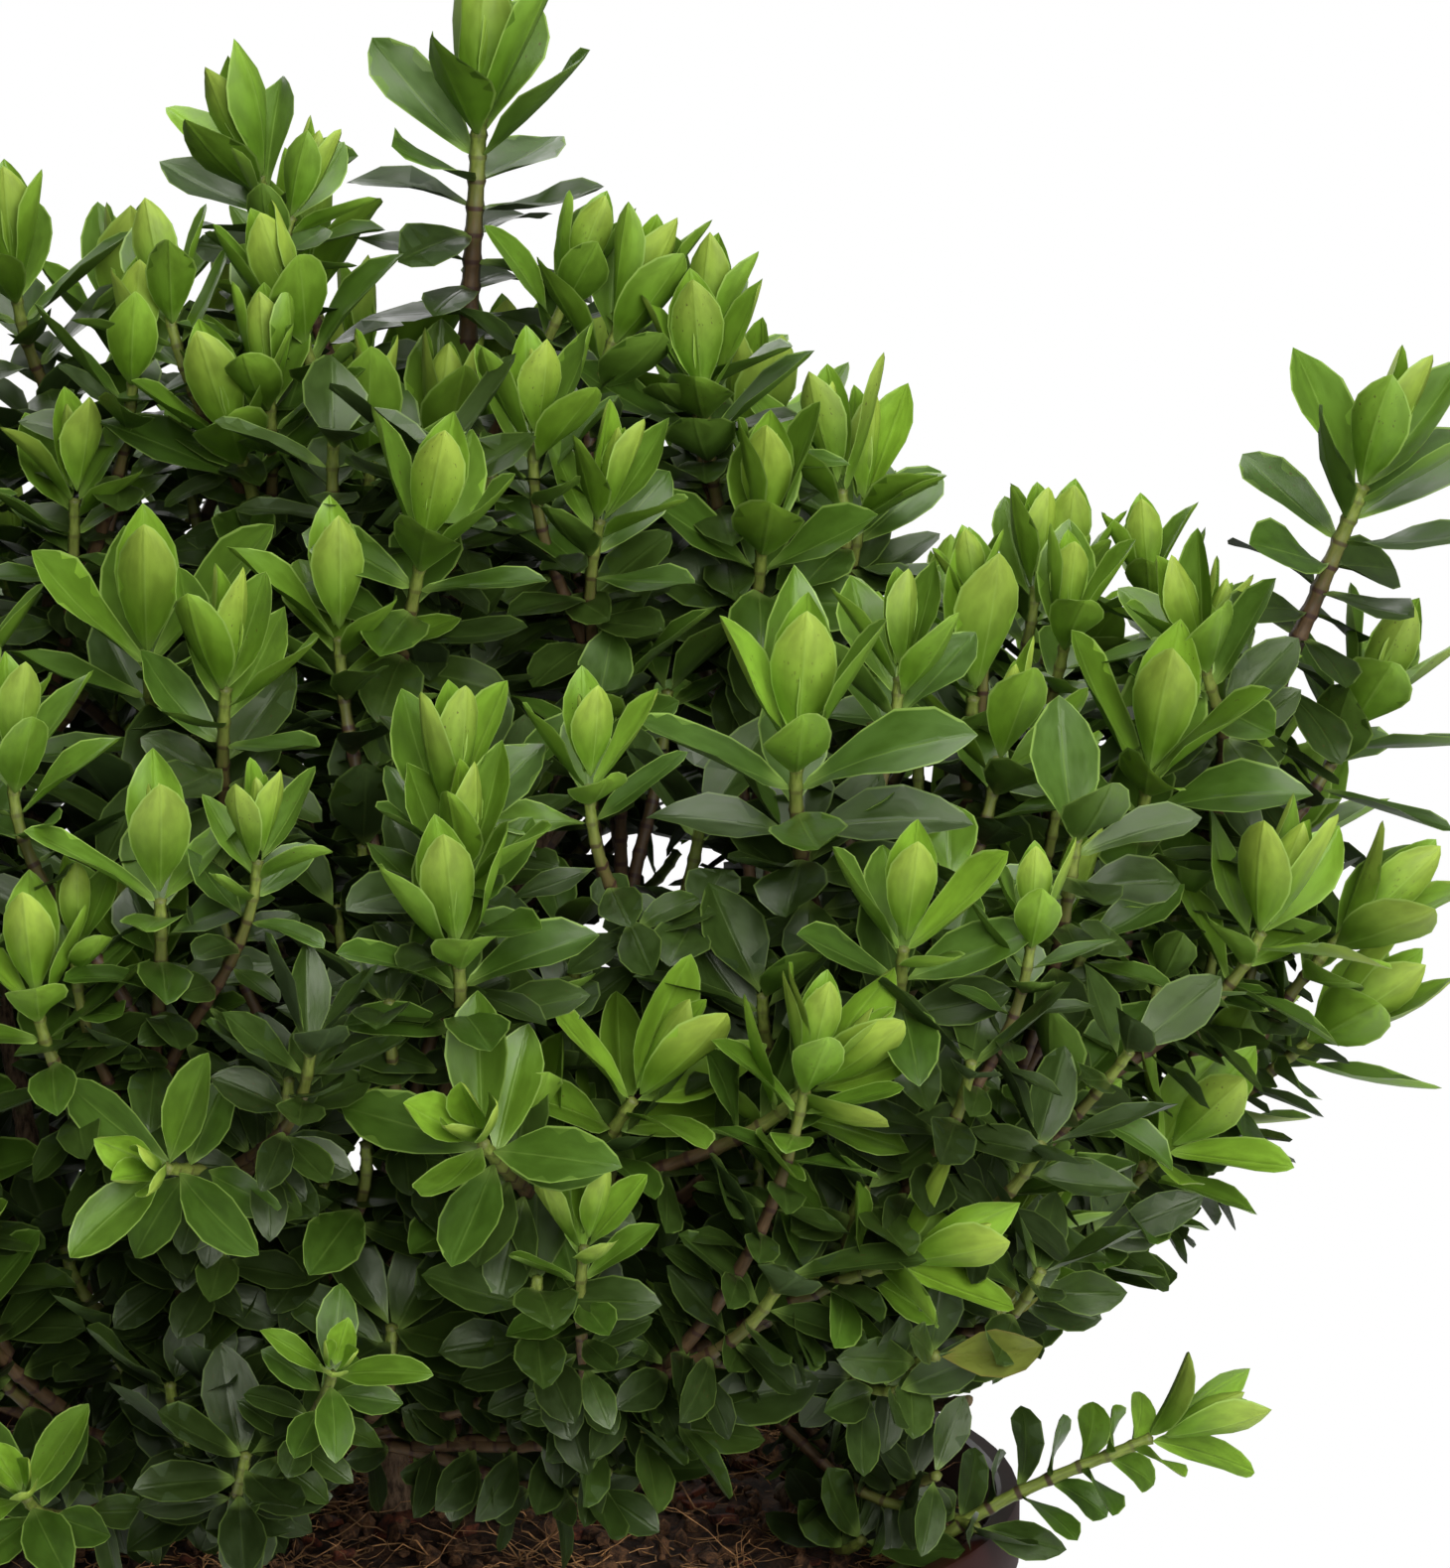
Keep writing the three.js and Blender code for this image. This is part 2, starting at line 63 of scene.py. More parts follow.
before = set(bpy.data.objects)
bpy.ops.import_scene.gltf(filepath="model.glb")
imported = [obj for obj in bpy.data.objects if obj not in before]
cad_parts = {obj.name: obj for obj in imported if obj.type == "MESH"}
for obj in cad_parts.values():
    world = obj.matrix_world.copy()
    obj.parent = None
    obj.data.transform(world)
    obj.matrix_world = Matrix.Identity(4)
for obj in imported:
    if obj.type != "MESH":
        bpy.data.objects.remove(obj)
cad_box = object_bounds()
BODY = "root"

# ---- the pot and the compost ----
POT_HEIGHT = 0.190
POT_RIM_RADIUS = 0.1155
POT_BASE_RADIUS = 0.085
POT_WALL = 0.0018
POT_FLOOR = 0.0024
POT_LIP_HEIGHT = 0.013
POT_LIP_OUT = 0.0024
POT_EDGE = 0.0008
POT_SEGMENTS = 96
POT_SHARP = math.radians(32)  # the angle from which an edge of the pot is sharp
DRAIN_COUNT = 6
DRAIN_RADIUS = 0.005
DRAIN_CIRCLE = 0.066
COMPOST_EDGE = 0.1805
COMPOST_MOUND = 0.004
COMPOST_SKIRT = 0.03  # how far down the compost's side goes
TUFTS = 42  # bunches of fibres that stand up from the compost

# ---- the limbs: every stem and bough is one curve through three points ----
STEM_BASE = COMPOST_EDGE + COMPOST_MOUND
# Each stem: its foot, its bend and its tip, their heights over the compost, and its radius at foot and tip.
STEMS = {
    "centre": ((-0.001, 0), (-0.002, -0.001, 0.040), (0.001, 0.003, 0.076), 0.0033, 0.0025),
    "right": ((0.074, 0.010), (0.084, 0.004, 0.012), (0.099, -0.004, 0.036), 0.0028, 0.0022),
    "left": ((-0.034, -0.006), (-0.048, -0.010, 0.018), (-0.061, -0.022, 0.048), 0.0028, 0.0022),
    "back": ((0.014, 0.034), (0.016, 0.046, 0.024), (0.020, 0.066, 0.054), 0.0028, 0.0022),
    "trailing": ((0.088, -0.041), (0.105, -0.040, 0.010), (0.115, -0.039, 0.016), 0.0019, 0.0015),
}
WOODY = ("centre", "right", "left", "back")
# Each bough: the middle of its mass, its stem, how far up the stem it leaves, and its radius.
BOUGHS = {
    "top_shoot": ((0.017, 0, 0.453), "centre", 1.0, 0.0023),
    "upper_left": ((-0.035, -0.006, 0.406), "centre", 0.92, 0.0021),
    "upper_right": ((0.052, -0.008, 0.390), "centre", 0.86, 0.0021),
    "upper_front": ((0.002, -0.062, 0.368), "centre", 0.8, 0.0021),
    "upper_back": ((-0.008, 0.058, 0.364), "back", 1.0, 0.0021),
    "upper_far_left": ((-0.086, 0.002, 0.384), "left", 1.0, 0.0020),
    "right_upper": ((0.120, -0.008, 0.336), "centre", 0.72, 0.0021),
    "far_right_shoot": ((0.177, -0.006, 0.383), "right", 0.9, 0.0021),
    "right_outer": ((0.161, -0.002, 0.300), "right", 1.0, 0.0020),
    "right_low": ((0.139, -0.014, 0.248), "right", 0.8, 0.0019),
    "front_right": ((0.090, -0.104, 0.316), "centre", 0.62, 0.0020),
    "front_right_low": ((0.080, -0.098, 0.243), "right", 0.5, 0.0018),
    "front": ((0, -0.124, 0.334), "centre", 0.55, 0.0020),
    "front_lower": ((0.004, -0.128, 0.276), "centre", 0.4, 0.0019),
    "front_rosette": ((-0.017, -0.098, 0.231), "left", 0.45, 0.0016),
    "front_left": ((-0.090, -0.104, 0.320), "left", 0.9, 0.0020),
    "front_left_low": ((-0.090, -0.090, 0.242), "left", 0.7, 0.0018),
    "left": ((-0.146, -0.004, 0.322), "left", 0.95, 0.0020),
    "left_low": ((-0.142, 0.004, 0.250), "left", 0.6, 0.0018),
    "back_left": ((-0.092, 0.104, 0.320), "back", 0.9, 0.0020),
    "back_left_low": ((-0.084, 0.094, 0.244), "back", 0.6, 0.0018),
    "back": ((0.004, 0.138, 0.296), "back", 0.95, 0.0020),
    "back_right": ((0.096, 0.098, 0.300), "back", 0.85, 0.0020),
    "back_right_low": ((0.094, 0.090, 0.242), "back", 0.5, 0.0018),
    "right_foot": ((0.104, -0.054, 0.219), "right", 0.65, 0.0016),
}
STRAIGHT = (0.0, 0.6)  # a bough's sag, and how far along it its bend is
BENT = {"right_outer": (-0.020, 0.3), "front_rosette": (0.026, 0.6)}
BEND_RISE = 0.45
BOUGH_TAPER = 0.36
AT_LIMB = 0.002  # a shoot whose foot is this near grows from the limb
PAST_SHOOT = 0.01  # of its length, that a limb goes on past its last shoot
FLARE = 1.55
FLARE_LENGTH = 0.18
BARK_SIDES = 12
BARK_STEP = 0.0014  # rings along a limb
BARK_RELIEF = 0.00022
SCAR_SPACING = 0.0085  # leaf scars round a limb
SCAR_HEIGHT = 0.00035
CURVE_STEPS = 120  # of a limb's curve, before it is cut into even steps
BARK_SEED = 50
BOUGH_SEED = 90

# ---- the camera, and the picture's size for placing the shoots that show ----
PICTURE_WIDTH = 1460
PICTURE_HEIGHT = 1579
CAMERA_PLACE = np.array((0.0, -1.497185, 0.591170))
CAMERA_PITCH = math.radians(10.2024)
CAMERA_YAW = math.radians(2.32876)
FOCAL_PIXELS = 8370.0
SENSOR = 36.0
REACHES = np.arange(1.30, 1.75, 0.004)  # from the camera, where a tip beside the foliage is looked for

# ---- the crown ----
HEART = np.array((-0.004, 0.0, 0.285))
# The shoots that show at the front. Each one: its tip across and down the picture, its lean to the right and
# its lean to the camera in degrees, its size, how far its bud has opened, its turn round its own stem, and
# for some how far it stands out of the crown.
FRONT_SHOOTS = (
    (8, 166, -2, 5, 0.95, 0.2, 0),
    (20, 668, 5, 5, 0.8, 0.4, 20),
    (217, 66, -20, 5, 0.92, 0.3, -30),
    (150, 204, -10, -10, 0.78, 0.2, 20),
    (141, 257, 4, 5, 0.85, 0.1, 0),
    (255, 214, -20, 10, 0.95, 0.1, 15),
    (262, 288, -4, 5, 0.8, 0.1, -10),
    (200, 330, -16, 15, 1.0, 0.2, 0),
    (330, 128, 22, -5, 0.7, 0.3, 60),
    (76, 398, 2, 10, 0.8, 0.3, 30),
    (544, 338, 4, 5, 0.8, 0.5, 20),
    (452, 430, 12, 10, 0.98, 0.4, -10),
    (339, 522, 0, 10, 0.9, 0.5, 10),
    (632, 415, 14, 10, 0.85, 0.3, 50),
    (608, 196, 20, 0, 0.75, 0.2, 0),
    (672, 219, 24, 0, 0.9, 0.2, 20),
    (722, 234, 8, 0, 0.9, 0.2, -20),
    (698, 278, -4, 15, 1.02, 0.2, 0),
    (152, 528, 3, 15, 1.1, 0.9, 10),
    (238, 572, 6, 10, 0.9, 0.3, 60),
    (457, 692, 2, 10, 0.9, 0.1, 40),
    (470, 765, 2, 12, 0.85, 0.1, 50),
    (440, 838, -8, 15, 0.92, 0.3, 15),
    (596, 684, 2, 5, 0.75, 0.6, 10),
    (775, 418, 3, 15, 1.0, 0.1, 0),
    (822, 374, -12, 0, 0.92, 0.2, -25),
    (871, 392, 2, 0, 0.9, 0.2, 40),
    (814, 612, 4, 15, 1.15, 0.4, -5),
    (992, 558, 4, 10, 1.15, 0.9, 20),
    (968, 532, -12, 0, 0.6, 0.2, 0),
    (1047, 487, 2, 0, 0.78, 0.2, 30),
    (1078, 490, 4, 5, 0.8, 0.2, 0),
    (1075, 538, 0, 15, 0.8, 0.1, 0),
    (1150, 501, -5, 5, 0.7, 0.1, 0),
    (1172, 560, -20, 10, 0.85, 0.3, 30),
    (1245, 572, 20, 0, 0.78, 0.5, 60),
    (906, 572, 0, 5, 0.8, 0.3, 30),
    (1186, 652, 10, 20, 1.15, 0.7, -10),
    (1266, 687, 14, 15, 1.0, 0.1, 0),
    (1424, 606, 24, 10, 1.0, 0.1, -15),
    (153, 782, -2, 12, 0.92, 0.9, 10),
    (33, 893, 0, 10, 0.86, 0.8, 0),
    (76, 868, 2, 5, 0.62, 0.4, 30),
    (262, 772, 2, 5, 0.65, 0.4, 50),
    (438, 1086, -26, 47, 1.0, 1.9, 57, 0.023),
    (101, 1168, -60, 58, 0.86, 1.9, 2, 0.031),
    (345, 1338, 12, 46, 0.62, 1.9, 0, 0.013),
    (705, 1000, 30, 15, 0.98, 0.9, 30),
    (922, 838, 5, 15, 0.9, 0.6, 10),
    (895, 1005, 38, 20, 0.98, 0.8, 15),
    (1014, 1234, 68, 15, 0.85, 0.9, 10, 0.016),
    (1258, 1080, 42, 20, 0.95, 0.9, 0),
    (1432, 966, 52, 5, 0.98, 0.3, 0),
    (1448, 852, 46, 0, 0.98, 0.2, 0),
    (1314, 818, 18, 5, 0.98, 0.5, 60),
    (832, 985, 10, 5, 0.7, 0.3, 0),
    (5, 1455, -10, 45, 0.75, 1.6, 20, 0.013),
    (600, 1170, 8, 8, 0.6, 0.6, 20),
    (1040, 850, 0, 5, 0.6, 0.4, 0),
)
# Shoots low in the shade, by the same measures. Their tips are hidden, and all their leaves get dark,
# old-leaf colours as painted shade.
SHADE_SHOOTS = (
    (312, 945, 0, 5, 0.7, 0.4, 0),
    (700, 1330, 35, 25, 0.85, 1.2, 20),
    (640, 1420, 20, 35, 0.7, 1.2, 0),
    (775, 1380, 55, 30, 0.8, 1.2, 40),
    (925, 1500, 40, 30, 0.72, 1.2, 0),
    (990, 1520, 62, 20, 0.6, 1.2, 30),
    (1085, 1190, 20, 10, 0.7, 1.0, 0),
    (262, 1376, 10, 25, 0.8, 1.2, 20),
    (-12, 1215, 5, 10, 0.85, 1.0, 0, -0.020),
    (18, 1318, 0, 5, 0.8, 1.0, 45, -0.028),
    (188, 1345, 0, 10, 0.8, 1.0, 20, -0.028),
    (135, 1350, 0, 10, 0.8, 1.0, 0, -0.030),
    (168, 1288, 0, 10, 0.8, 1.0, 30, -0.030),
    (108, 1232, 0, 10, 0.8, 1.0, 60, -0.032),
    (62, 1150, 0, 10, 0.8, 1.0, 20, -0.030),
    (212, 1296, 0, 10, 0.75, 1.0, 75, -0.036),
    (1022, 1500, 72, 18, 0.6, 1.2, 45),
    (1008, 1560, 92, 25, 0.56, 1.2, 40),
    (560, 1180, 10, 15, 0.8, 1.0, 0),
    (830, 1180, 20, 10, 0.85, 1.0, 0),
    (230, 1110, 0, 15, 0.75, 1.0, 0, -0.012),
    (620, 1040, 0, 10, 0.75, 1.0, 0),
    (1090, 1050, 20, 10, 0.8, 1.0, 0),
    (990, 960, 5, 10, 0.8, 1.0, 0),
    (390, 900, 0, 5, 0.75, 1.0, 0, -0.014),
    (352, 318, 8, 5, 0.85, 1.0, 0),
    (425, 338, -5, 5, 0.9, 1.0, 30),
    (512, 326, 5, 0, 0.85, 1.0, 0),
    (566, 318, 0, 5, 0.8, 1.0, 20),
    (1024, 1470, 62, 50, 0.6, 0.8, 20, 0.012),
    (1034, 1552, 84, 54, 0.58, 0.8, 55, 0.018),
    (1252, 1126, 50, 48, 0.7, 0.8, 10, 0.008),
    (1168, 1226, 55, 48, 0.7, 0.8, 50, 0.008),
    (1092, 1280, 50, 50, 0.62, 0.8, 30, 0.008),
    (990, 1340, 45, 50, 0.66, 0.8, 30, 0.008),
    (958, 1390, 60, 50, 0.64, 0.8, 70, 0.006),
    (915, 1120, 25, 30, 0.8, 1.0, 40, -0.004),
    (862, 1195, 20, 30, 0.8, 1.0, 15, -0.004),
    (1190, 985, 30, 25, 0.75, 1.0, 60, -0.004),
    (290, 985, 0, 5, 0.7, 1.0, 30, -0.010),
)
# Where the sky shows through the crown: across and down the picture, and how wide.
SKY_GAPS = (
    (606, 856, 4),
    (690, 874, 5),
    (597, 936, 7),
    (612, 1254, 3),
    (383, 1183, 3),
    (354, 1144, 2),
    (1147, 1078, 4),
    (1145, 1143, 3),
    (1044, 1071, 3),
    (942, 789, 5),
    (865, 757, 5),
    (1055, 832, 4),
    (217, 521, 3),
    (150, 450, 4),
    (415, 195, 16),
    (390, 300, 5),
    (505, 430, 3),
    (1120, 880, 3),
)
# The crown's lower edge on the right, across and down the picture. Below it only the trailing shoot shows.
LOWER_EDGE = (
    (940, 985, 1030, 1060, 1100, 1128, 1170, 1234, 1270, 1307, 1383, 1431, 1500),
    (1440, 1408, 1380, 1356, 1338, 1334, 1310, 1268, 1230, 1176, 1088, 1000, 940),
)
EDGE_ROOM = 6
# Where a yellowed leaf shows, across and down the picture.
FADED_LEAVES = ((1003, 1318), (975, 1358))
FADED_ROOM = 30
# The two tall shoots with bare stems, and the one that trails over the rim, by the same measures.
TALL_SHOOTS = (
    (490, -32, 3, 0, 1.15, 0.05, -25),
    (1428, 356, 21, 5, 1.12, 0.1, 45),
)
TALL_BOUGHS = ("top_shoot", "far_right_shoot")
TALL_FROM = 0.32  # of the bough's length, where the ringed green stem takes over
TALL_SIZES = ((2, 3, 5, 8), (1.0, 0.96, 0.96, 1.02))  # of its leaves, for their place down the shoot
TALL_GIRTH = 1.25
TALL_SPREAD = (6, 8)  # degrees that the feet and tips of its old leaves stand further out
TRAILING_SHOOTS = ((1262, 1404, 66, 0, 0.8, 0.8, 25),)
FACE_TURNS = {"trailing": 48.0, "tall": 22.0}  # how far their leaves' blades are turned to the light
LIT_FROM = np.array((0.0, -0.6, 0.8))
TRAILING_SIZES = ((3, 8, 12), (0.68, 0.76, 0.95))
TRAILING_ANGLES = (56, 74)
TRAILING_FROM = 0.30
LONE_KINDS = ("tall", "trailing")
SINGLE_SHOOTS = ("foliage_top_shoot", "foliage_far_right_shoot", "foliage_trailing_shoot")

# The lean of the shoots all round the crown, for how far round from its top they stand, both in degrees.
LEAN_RULE = ((0, 40, 60, 75, 90, 105, 125), (0, 5, 12, 22, 40, 58, 72))
LEAF_ROOM = 0.015  # how far inside the crown's surface an upright shoot stands, for its leaves
SHORTEST_SHOOT = 0.056
TRIES = 16000  # places tried for the shoots that fill the crown
SPACINGS = (0.96, 1.0, 1.15)  # times the spacing: in the shade, in the light, and under the crown
UNDER_CROWN = -0.25  # the rise of the way out from the heart, under the crown
NO_SHOOTS = -0.62  # and where no shoots grow
OPEN_REACH = 0.2  # how far out the way from a shoot's place has to be free
LEAN_SWAY = 6  # degrees
LEVEL_SWAY = 0.16
MOST_LEAN = 84  # degrees
DEPTHS = (0.6, 1.5)  # times the inner depth, for shaded shoots
# Sizes and openings of the filling shoots, for shaded ones and for those in the light.
FILLING_SIZES = {True: (0.7, 0.95), False: (0.82, 1.08)}
FILLING_OPENINGS = {True: (0.8, 1.4), False: (0.0, 0.6)}
LIMB_STEP = 0.004  # between the places where a limb can bear shoots
SHOOT_STEP = 0.003
SHOOT_POINTS = 60  # of a shoot's or limb's curve, before it is cut into even steps
TURN_COST = 0.05  # metres that a shoot would rather grow than turn a right angle
SHORT_COST = 0.2  # and than be shorter than the shortest
AIM = 0.3  # how much a shoot leaves the wood towards its own heading
FOOT_PULL = 0.38  # of its reach, along which it keeps to the way it leaves
APEX_PULL = 0.42
BEARING = 0.45  # of a shoot's length, that can bear other shoots
TRAILING_STEP = 1.3  # its pairs of leaves stand further apart
LOWEST_TIP = 0.212
LOWEST_SHADED = 0.240  # in front, where the crown stands open over the compost
LEAF_OVERHANG = 0.007  # how far a leaf may stand out of its mass
PAINTED_SHADE_AGE = 7.0  # how many pairs older the leaves of a shaded shoot look: painted shade that darkens them
# Painted shade: how many pairs older, and so darker, the leaves of the shaded filling shoots on the left look
PAINTED_SHADE_AGES = (6.0, 10.0)
LOW_PAINTED_SHADE_AGES = (2.5, 6.5)  # lower down on the left, a lighter painted shade
LOW_SHADE = 0.270
PAINTED_LIGHT_AGES = (1.0, 4.5)  # painted light: younger, brighter leaves on the right, where more light comes in
LOW_PAINTED_LIGHT_AGES = (0.0, 3.0)
# Painted light: the named shoots low on the right look this many pairs younger, so their leaves are brighter
PAINTED_LIGHT_AGE = -1.3
PAINTED_LIGHT_HEIGHT = 0.335
PAINTED_DEEP_SHADE_AGE = 13.0  # in pairs, from which leaves take the darkest colour, painted shade inside the crown
PAINTED_DEEP_SHADE_HEIGHT = 0.252  # on the left, and lower than this, all the old leaves are painted as dark, for shade
SHADE_SIDE = 0.015
SHADED_LEAN = 0.5  # of the lean that the rule gives
BUDLESS_PAIRS = 2  # a shaded shoot shows no bud
LOWEST_LEAF = 0.226  # in front, but for the shoots that show
BUD_ROOM = 20  # how far from a named shoot's bud, in the picture, no other leaf stands in front of it
BUD_WIDTH = 0.0036  # from a bud's middle line, within which no leaf of another shoot passes
BUD_DEPTH = 0.004
STAR_ROOM = 96
STAR_DEPTH = 0.009  # and how far behind it
GAP_ROOM = 14  # how far from a gap, in the picture, no shoot ends
INNER_DEPTH = 0.036  # how much deeper the shaded shoots stand

# A shoot's pairs of leaves, from the bud down: length and half width of a leaf, how far it is rolled round
# its midrib, the angle that its foot and its tip make with the shoot, and how far its halves are folded up
# from the midrib. The last row goes for all the pairs below it.
PAIRS = (
    (0.64, 0.46, 66, 7, -8, 4),
    (0.87, 0.80, 42, 13, -4, 6),
    (1.00, 0.90, 28, 27, 8, 9),
    (1.04, 0.98, 20, 43, 28, 10),
    (1.02, 0.98, 15, 57, 48, 10),
    (0.96, 0.94, 13, 67, 64, 10),
    (0.88, 0.88, 12, 73, 76, 9),
    (0.81, 0.82, 11, 77, 84, 9),
    (0.75, 0.77, 10, 80, 91, 8),
    (0.71, 0.73, 9, 82, 97, 8),
    (0.68, 0.70, 8, 85, 103, 8),
)
STAR_OPENING = 1.5
# The first pairs of a shoot that stands wide open, by the same measures.
STAR_PAIRS = (
    (0.50, 0.62, 52, 24, 4, 6),
    (0.60, 0.70, 40, 40, 18, 8),
    (0.98, 0.80, 16, 62, 68, 9),
    (1.02, 0.86, 12, 74, 84, 9),
)
# Chance in each leaf: in the turn of its pair and in its own, in its sizes and roll as a share of them, in
# its foot angle, tip angle and twist in degrees, and in its fold. Leaves in a bud have less of it.
PAIR_SWAY = 0.09
SPIN_SWAY = 0.07
SIZE_SWAY = 0.07
ROLL_SWAY = 0.28
ROLL_LIMITS = (0.4, 1.8)
FOOT_SWAY = 6
TIP_SWAY = 13
TWIST_SWAY = 14
FOLD_SWAY = 0.2
BUD_SWAY = 0.25
OLD_PAIR = 7  # below it some leaves have dropped
DROPPED = (0.04, 0.02)  # the share of them at first, and more with each pair
LEAFY_LENGTHS = (0.85, 1.1)  # times the leafy length
SHOWN_PAIRS = 5  # of a named shoot, that may stand before the sky
EDGE_PAIRS = 4  # and below the crown's edge
SKY_SHARE = 0.4  # of half a leaf's width, that keeps clear of the sky's gaps
BUD_SHARE = 0.5  # and of the buds
STAR_AGE = 1.2  # how much older its spread leaves look
STAR_TWIST = 0.35  # of the twist that other leaves have
PAIR_PLACES = (0.0, 0.12, 0.5, 1.1, 1.9, 2.8, 3.8, 4.8)  # in internodes from the shoot's apex
BUD_LENGTH = 0.84  # of a leaf's length, from the apex to the bud's point

# A leaf's rows of points: how far along it they are, and its width there. The columns run from edge to edge.
FULL_ROWS = (
    (0.03, 0.14),
    (0.12, 0.36),
    (0.25, 0.68),
    (0.40, 0.91),
    (0.56, 1.0),
    (0.72, 0.89),
    (0.86, 0.58),
    (0.95, 0.26),
)
FULL_COLUMNS = (-1.0, -0.5, 0.0, 0.5, 1.0)
SHORT_ROWS = ((0.05, 0.18), (0.20, 0.55), (0.38, 0.89), (0.58, 1.0), (0.79, 0.77), (0.93, 0.36))
SHORT_COLUMNS = (-1.0, 0.0, 1.0)

# The leaf map: columns of tiles for each tint, upper side and underside next to each other, and rows of them.
MAP_TINTS = 4
MAP_ROWS = 4
MAP_HALF = 0.46  # half a leaf's width in its tile
MAP_LENGTH = 0.92
MAP_FOOT = 0.04
RING_ROWS = 64.0  # internodes along the map of a shoot's stem
RINGED_NODES = 8  # from the bud down, with a swelling at each node
MOST_TRIANGLES = 190000

# The kinds of leaves, from the bud to the oldest. One face of each has the colour of its setting. Here are
# the other face (the upper one in a bud, the lower one in the rest), the foot of its underside, how much its
# edge stands out, its roughness, how much its tints differ, and its shine.
LEAF_LOOKS = {
    "bud": ((116, 154, 44), (94, 130, 30), 0.7, 0.40, 0.12, 0.42),
    "young": ((118, 154, 48), (88, 126, 26), 0.7, 0.36, 0.16, 0.44),
    "grown": ((90, 120, 42), (66, 96, 26), 0.5, 0.35, 0.2, 0.42),
    # dark and deep also darken the leaves in the crown's shade, as painted shade
    "dark": ((60, 80, 40), (42, 60, 26), 0.22, 0.36, 0.25, 0.36),
    "deep": ((44, 60, 30), (30, 44, 18), 0.14, 0.38, 0.25, 0.34),
    "faded": ((98, 108, 50), (86, 90, 38), 0.5, 0.3, 0.25, 0.3),
}
FADED_MARGIN = (120, 104, 56)
OLDEST = {"bud": 2.4, "young": 4.2, "grown": 6.4}  # in pairs down the shoot
CHIP_SIZES = ((0.0012, 0.0042), (0.001, 0.0022), (0.0004, 0.001))  # half a bark chip, smallest and largest
# Each soft light: its place, the height it is aimed at, its size, and its setting with its share of that.
LIGHTS = {
    "key light": ((0.3, -1.6, 1.15), 0.28, 1.2, "key_power", 1.0),
    "front light": ((1.1, -1.5, 0.5), 0.28, 1.1, "fill_power", 1.0),
    "top light": ((0.1, 0.1, 1.7), 0.3, 1.2, "top_power", 1.0),
    "back light": ((-0.5, 1.5, 1.0), 0.3, 1.2, "fill_power", 0.55),
}


def linear(red, green, blue):
    """A display colour, 0 to 255, as the light it stands for."""
    shares = [value / 255.0 for value in (red, green, blue)]
    return tuple(share / 12.92 if share <= 0.04045 else ((share + 0.055) / 1.055) ** 2.4 for share in shares)


def colour_property(name, description, red, green, blue):
    colour = linear(red, green, blue)
    facts = {"name": name, "description": description, "default": colour}
    return bpy.props.FloatVectorProperty(subtype="COLOR", size=3, min=0.0, max=1.0, **facts)


def length_property(name, description, default, unit="LENGTH"):
    return bpy.props.FloatProperty(name=name, description=description, default=default, min=0.0, unit=unit)


def power_property(name, description, default):
    return length_property(name, description, default, "POWER")


def count_property(name, description, default):
    return bpy.props.IntProperty(name=name, description=description, default=default, min=0)


class HebeLeafSettings(bpy.types.PropertyGroup):
    """Sizes and colours of the leaves"""

    length: length_property("Length", "Length of a full-grown leaf", 0.0255)
    width: length_property("Width", "Width of a full-grown leaf", 0.0136)
    thickness: length_property("Thickness", "Thickness of a leaf", 0.00042)
    bud: colour_property("Bud", "Outer face of the leaves in a bud", 145, 168, 65)
    young: colour_property("Young", "Upper face of a young leaf", 81, 113, 30)
    grown: colour_property("Grown", "Upper face of a grown leaf", 61, 89, 26)
    # dark and deep also serve as painted shade: deep is the darkest, for leaves inside the crown and low on
    # the left
    dark: colour_property("Dark", "Upper face of an old leaf in the shade", 47, 66, 23)
    deep: colour_property("Deep", "Upper face of the oldest leaves inside the crown", 34, 48, 17)
    faded: colour_property("Faded", "A leaf that is about to drop", 100, 110, 46)
    margin: colour_property("Margin", "The thin pale edge of a leaf", 148, 178, 86)


class HebeCrownSettings(bpy.types.PropertyGroup):
    """Growth of the crown"""

    seed: count_property("Seed", "Seed of the branching rule", 417)
    spacing: length_property("Spacing", "Distance between the tips of two shoots", 0.0222)
    internode: length_property("Internode", "Distance between two pairs of leaves", 0.0045)
    leafy_length: length_property("Leafy length", "Length of a shoot that bears leaves", 0.080)
    shoot_radius: length_property("Shoot radius", "Radius of a shoot under its bud", 0.00112)
    green_stem: colour_property("Green stem", "Young stem under the bud", 114, 128, 50)
    brown_stem: colour_property("Brown stem", "Stem where its leaves are old", 82, 62, 37)
    ring: colour_property("Ring", "Ring round the stem at each pair of leaves", 58, 34, 24)
    bark: colour_property("Bark", "Bark of the boughs and stems", 92, 70, 46)


class HebePotSettings(bpy.types.PropertyGroup):
    """Pot and compost"""

    plastic: colour_property("Plastic", "Colour of the pot", 50, 20, 17)
    compost: colour_property("Compost", "Colour of the damp compost", 66, 45, 30)
    fibre: colour_property("Fibre", "Colour of the dry fibres in the compost", 196, 146, 94)
    fibres: count_property("Fibres", "Number of fibres on the compost", 760)
    crumbs: count_property("Crumbs", "Number of crumbs on the compost", 1400)
    chips: count_property("Chips", "Number of bark chips on the compost", 70)


class HebeStageSettings(bpy.types.PropertyGroup):
    """Floor and lights"""

    floor_radius: length_property("Floor radius", "Radius of the round floor", 0.62)
    key_power: power_property("Key light", "Power of the soft light in front", 31.0)
    top_power: power_property("Top light", "Power of the soft light above", 19.0)
    fill_power: power_property("Fill light", "Power of the soft lights at the sides", 15.0)
    room_light: bpy.props.FloatProperty(name="Room light", description="Light from all round", default=0.13)


# ---- vectors and curves ----
def unit(vector):
    vector = np.asarray(vector, float)
    return vector / np.maximum(np.linalg.norm(vector, axis=-1, keepdims=True), 1e-12)


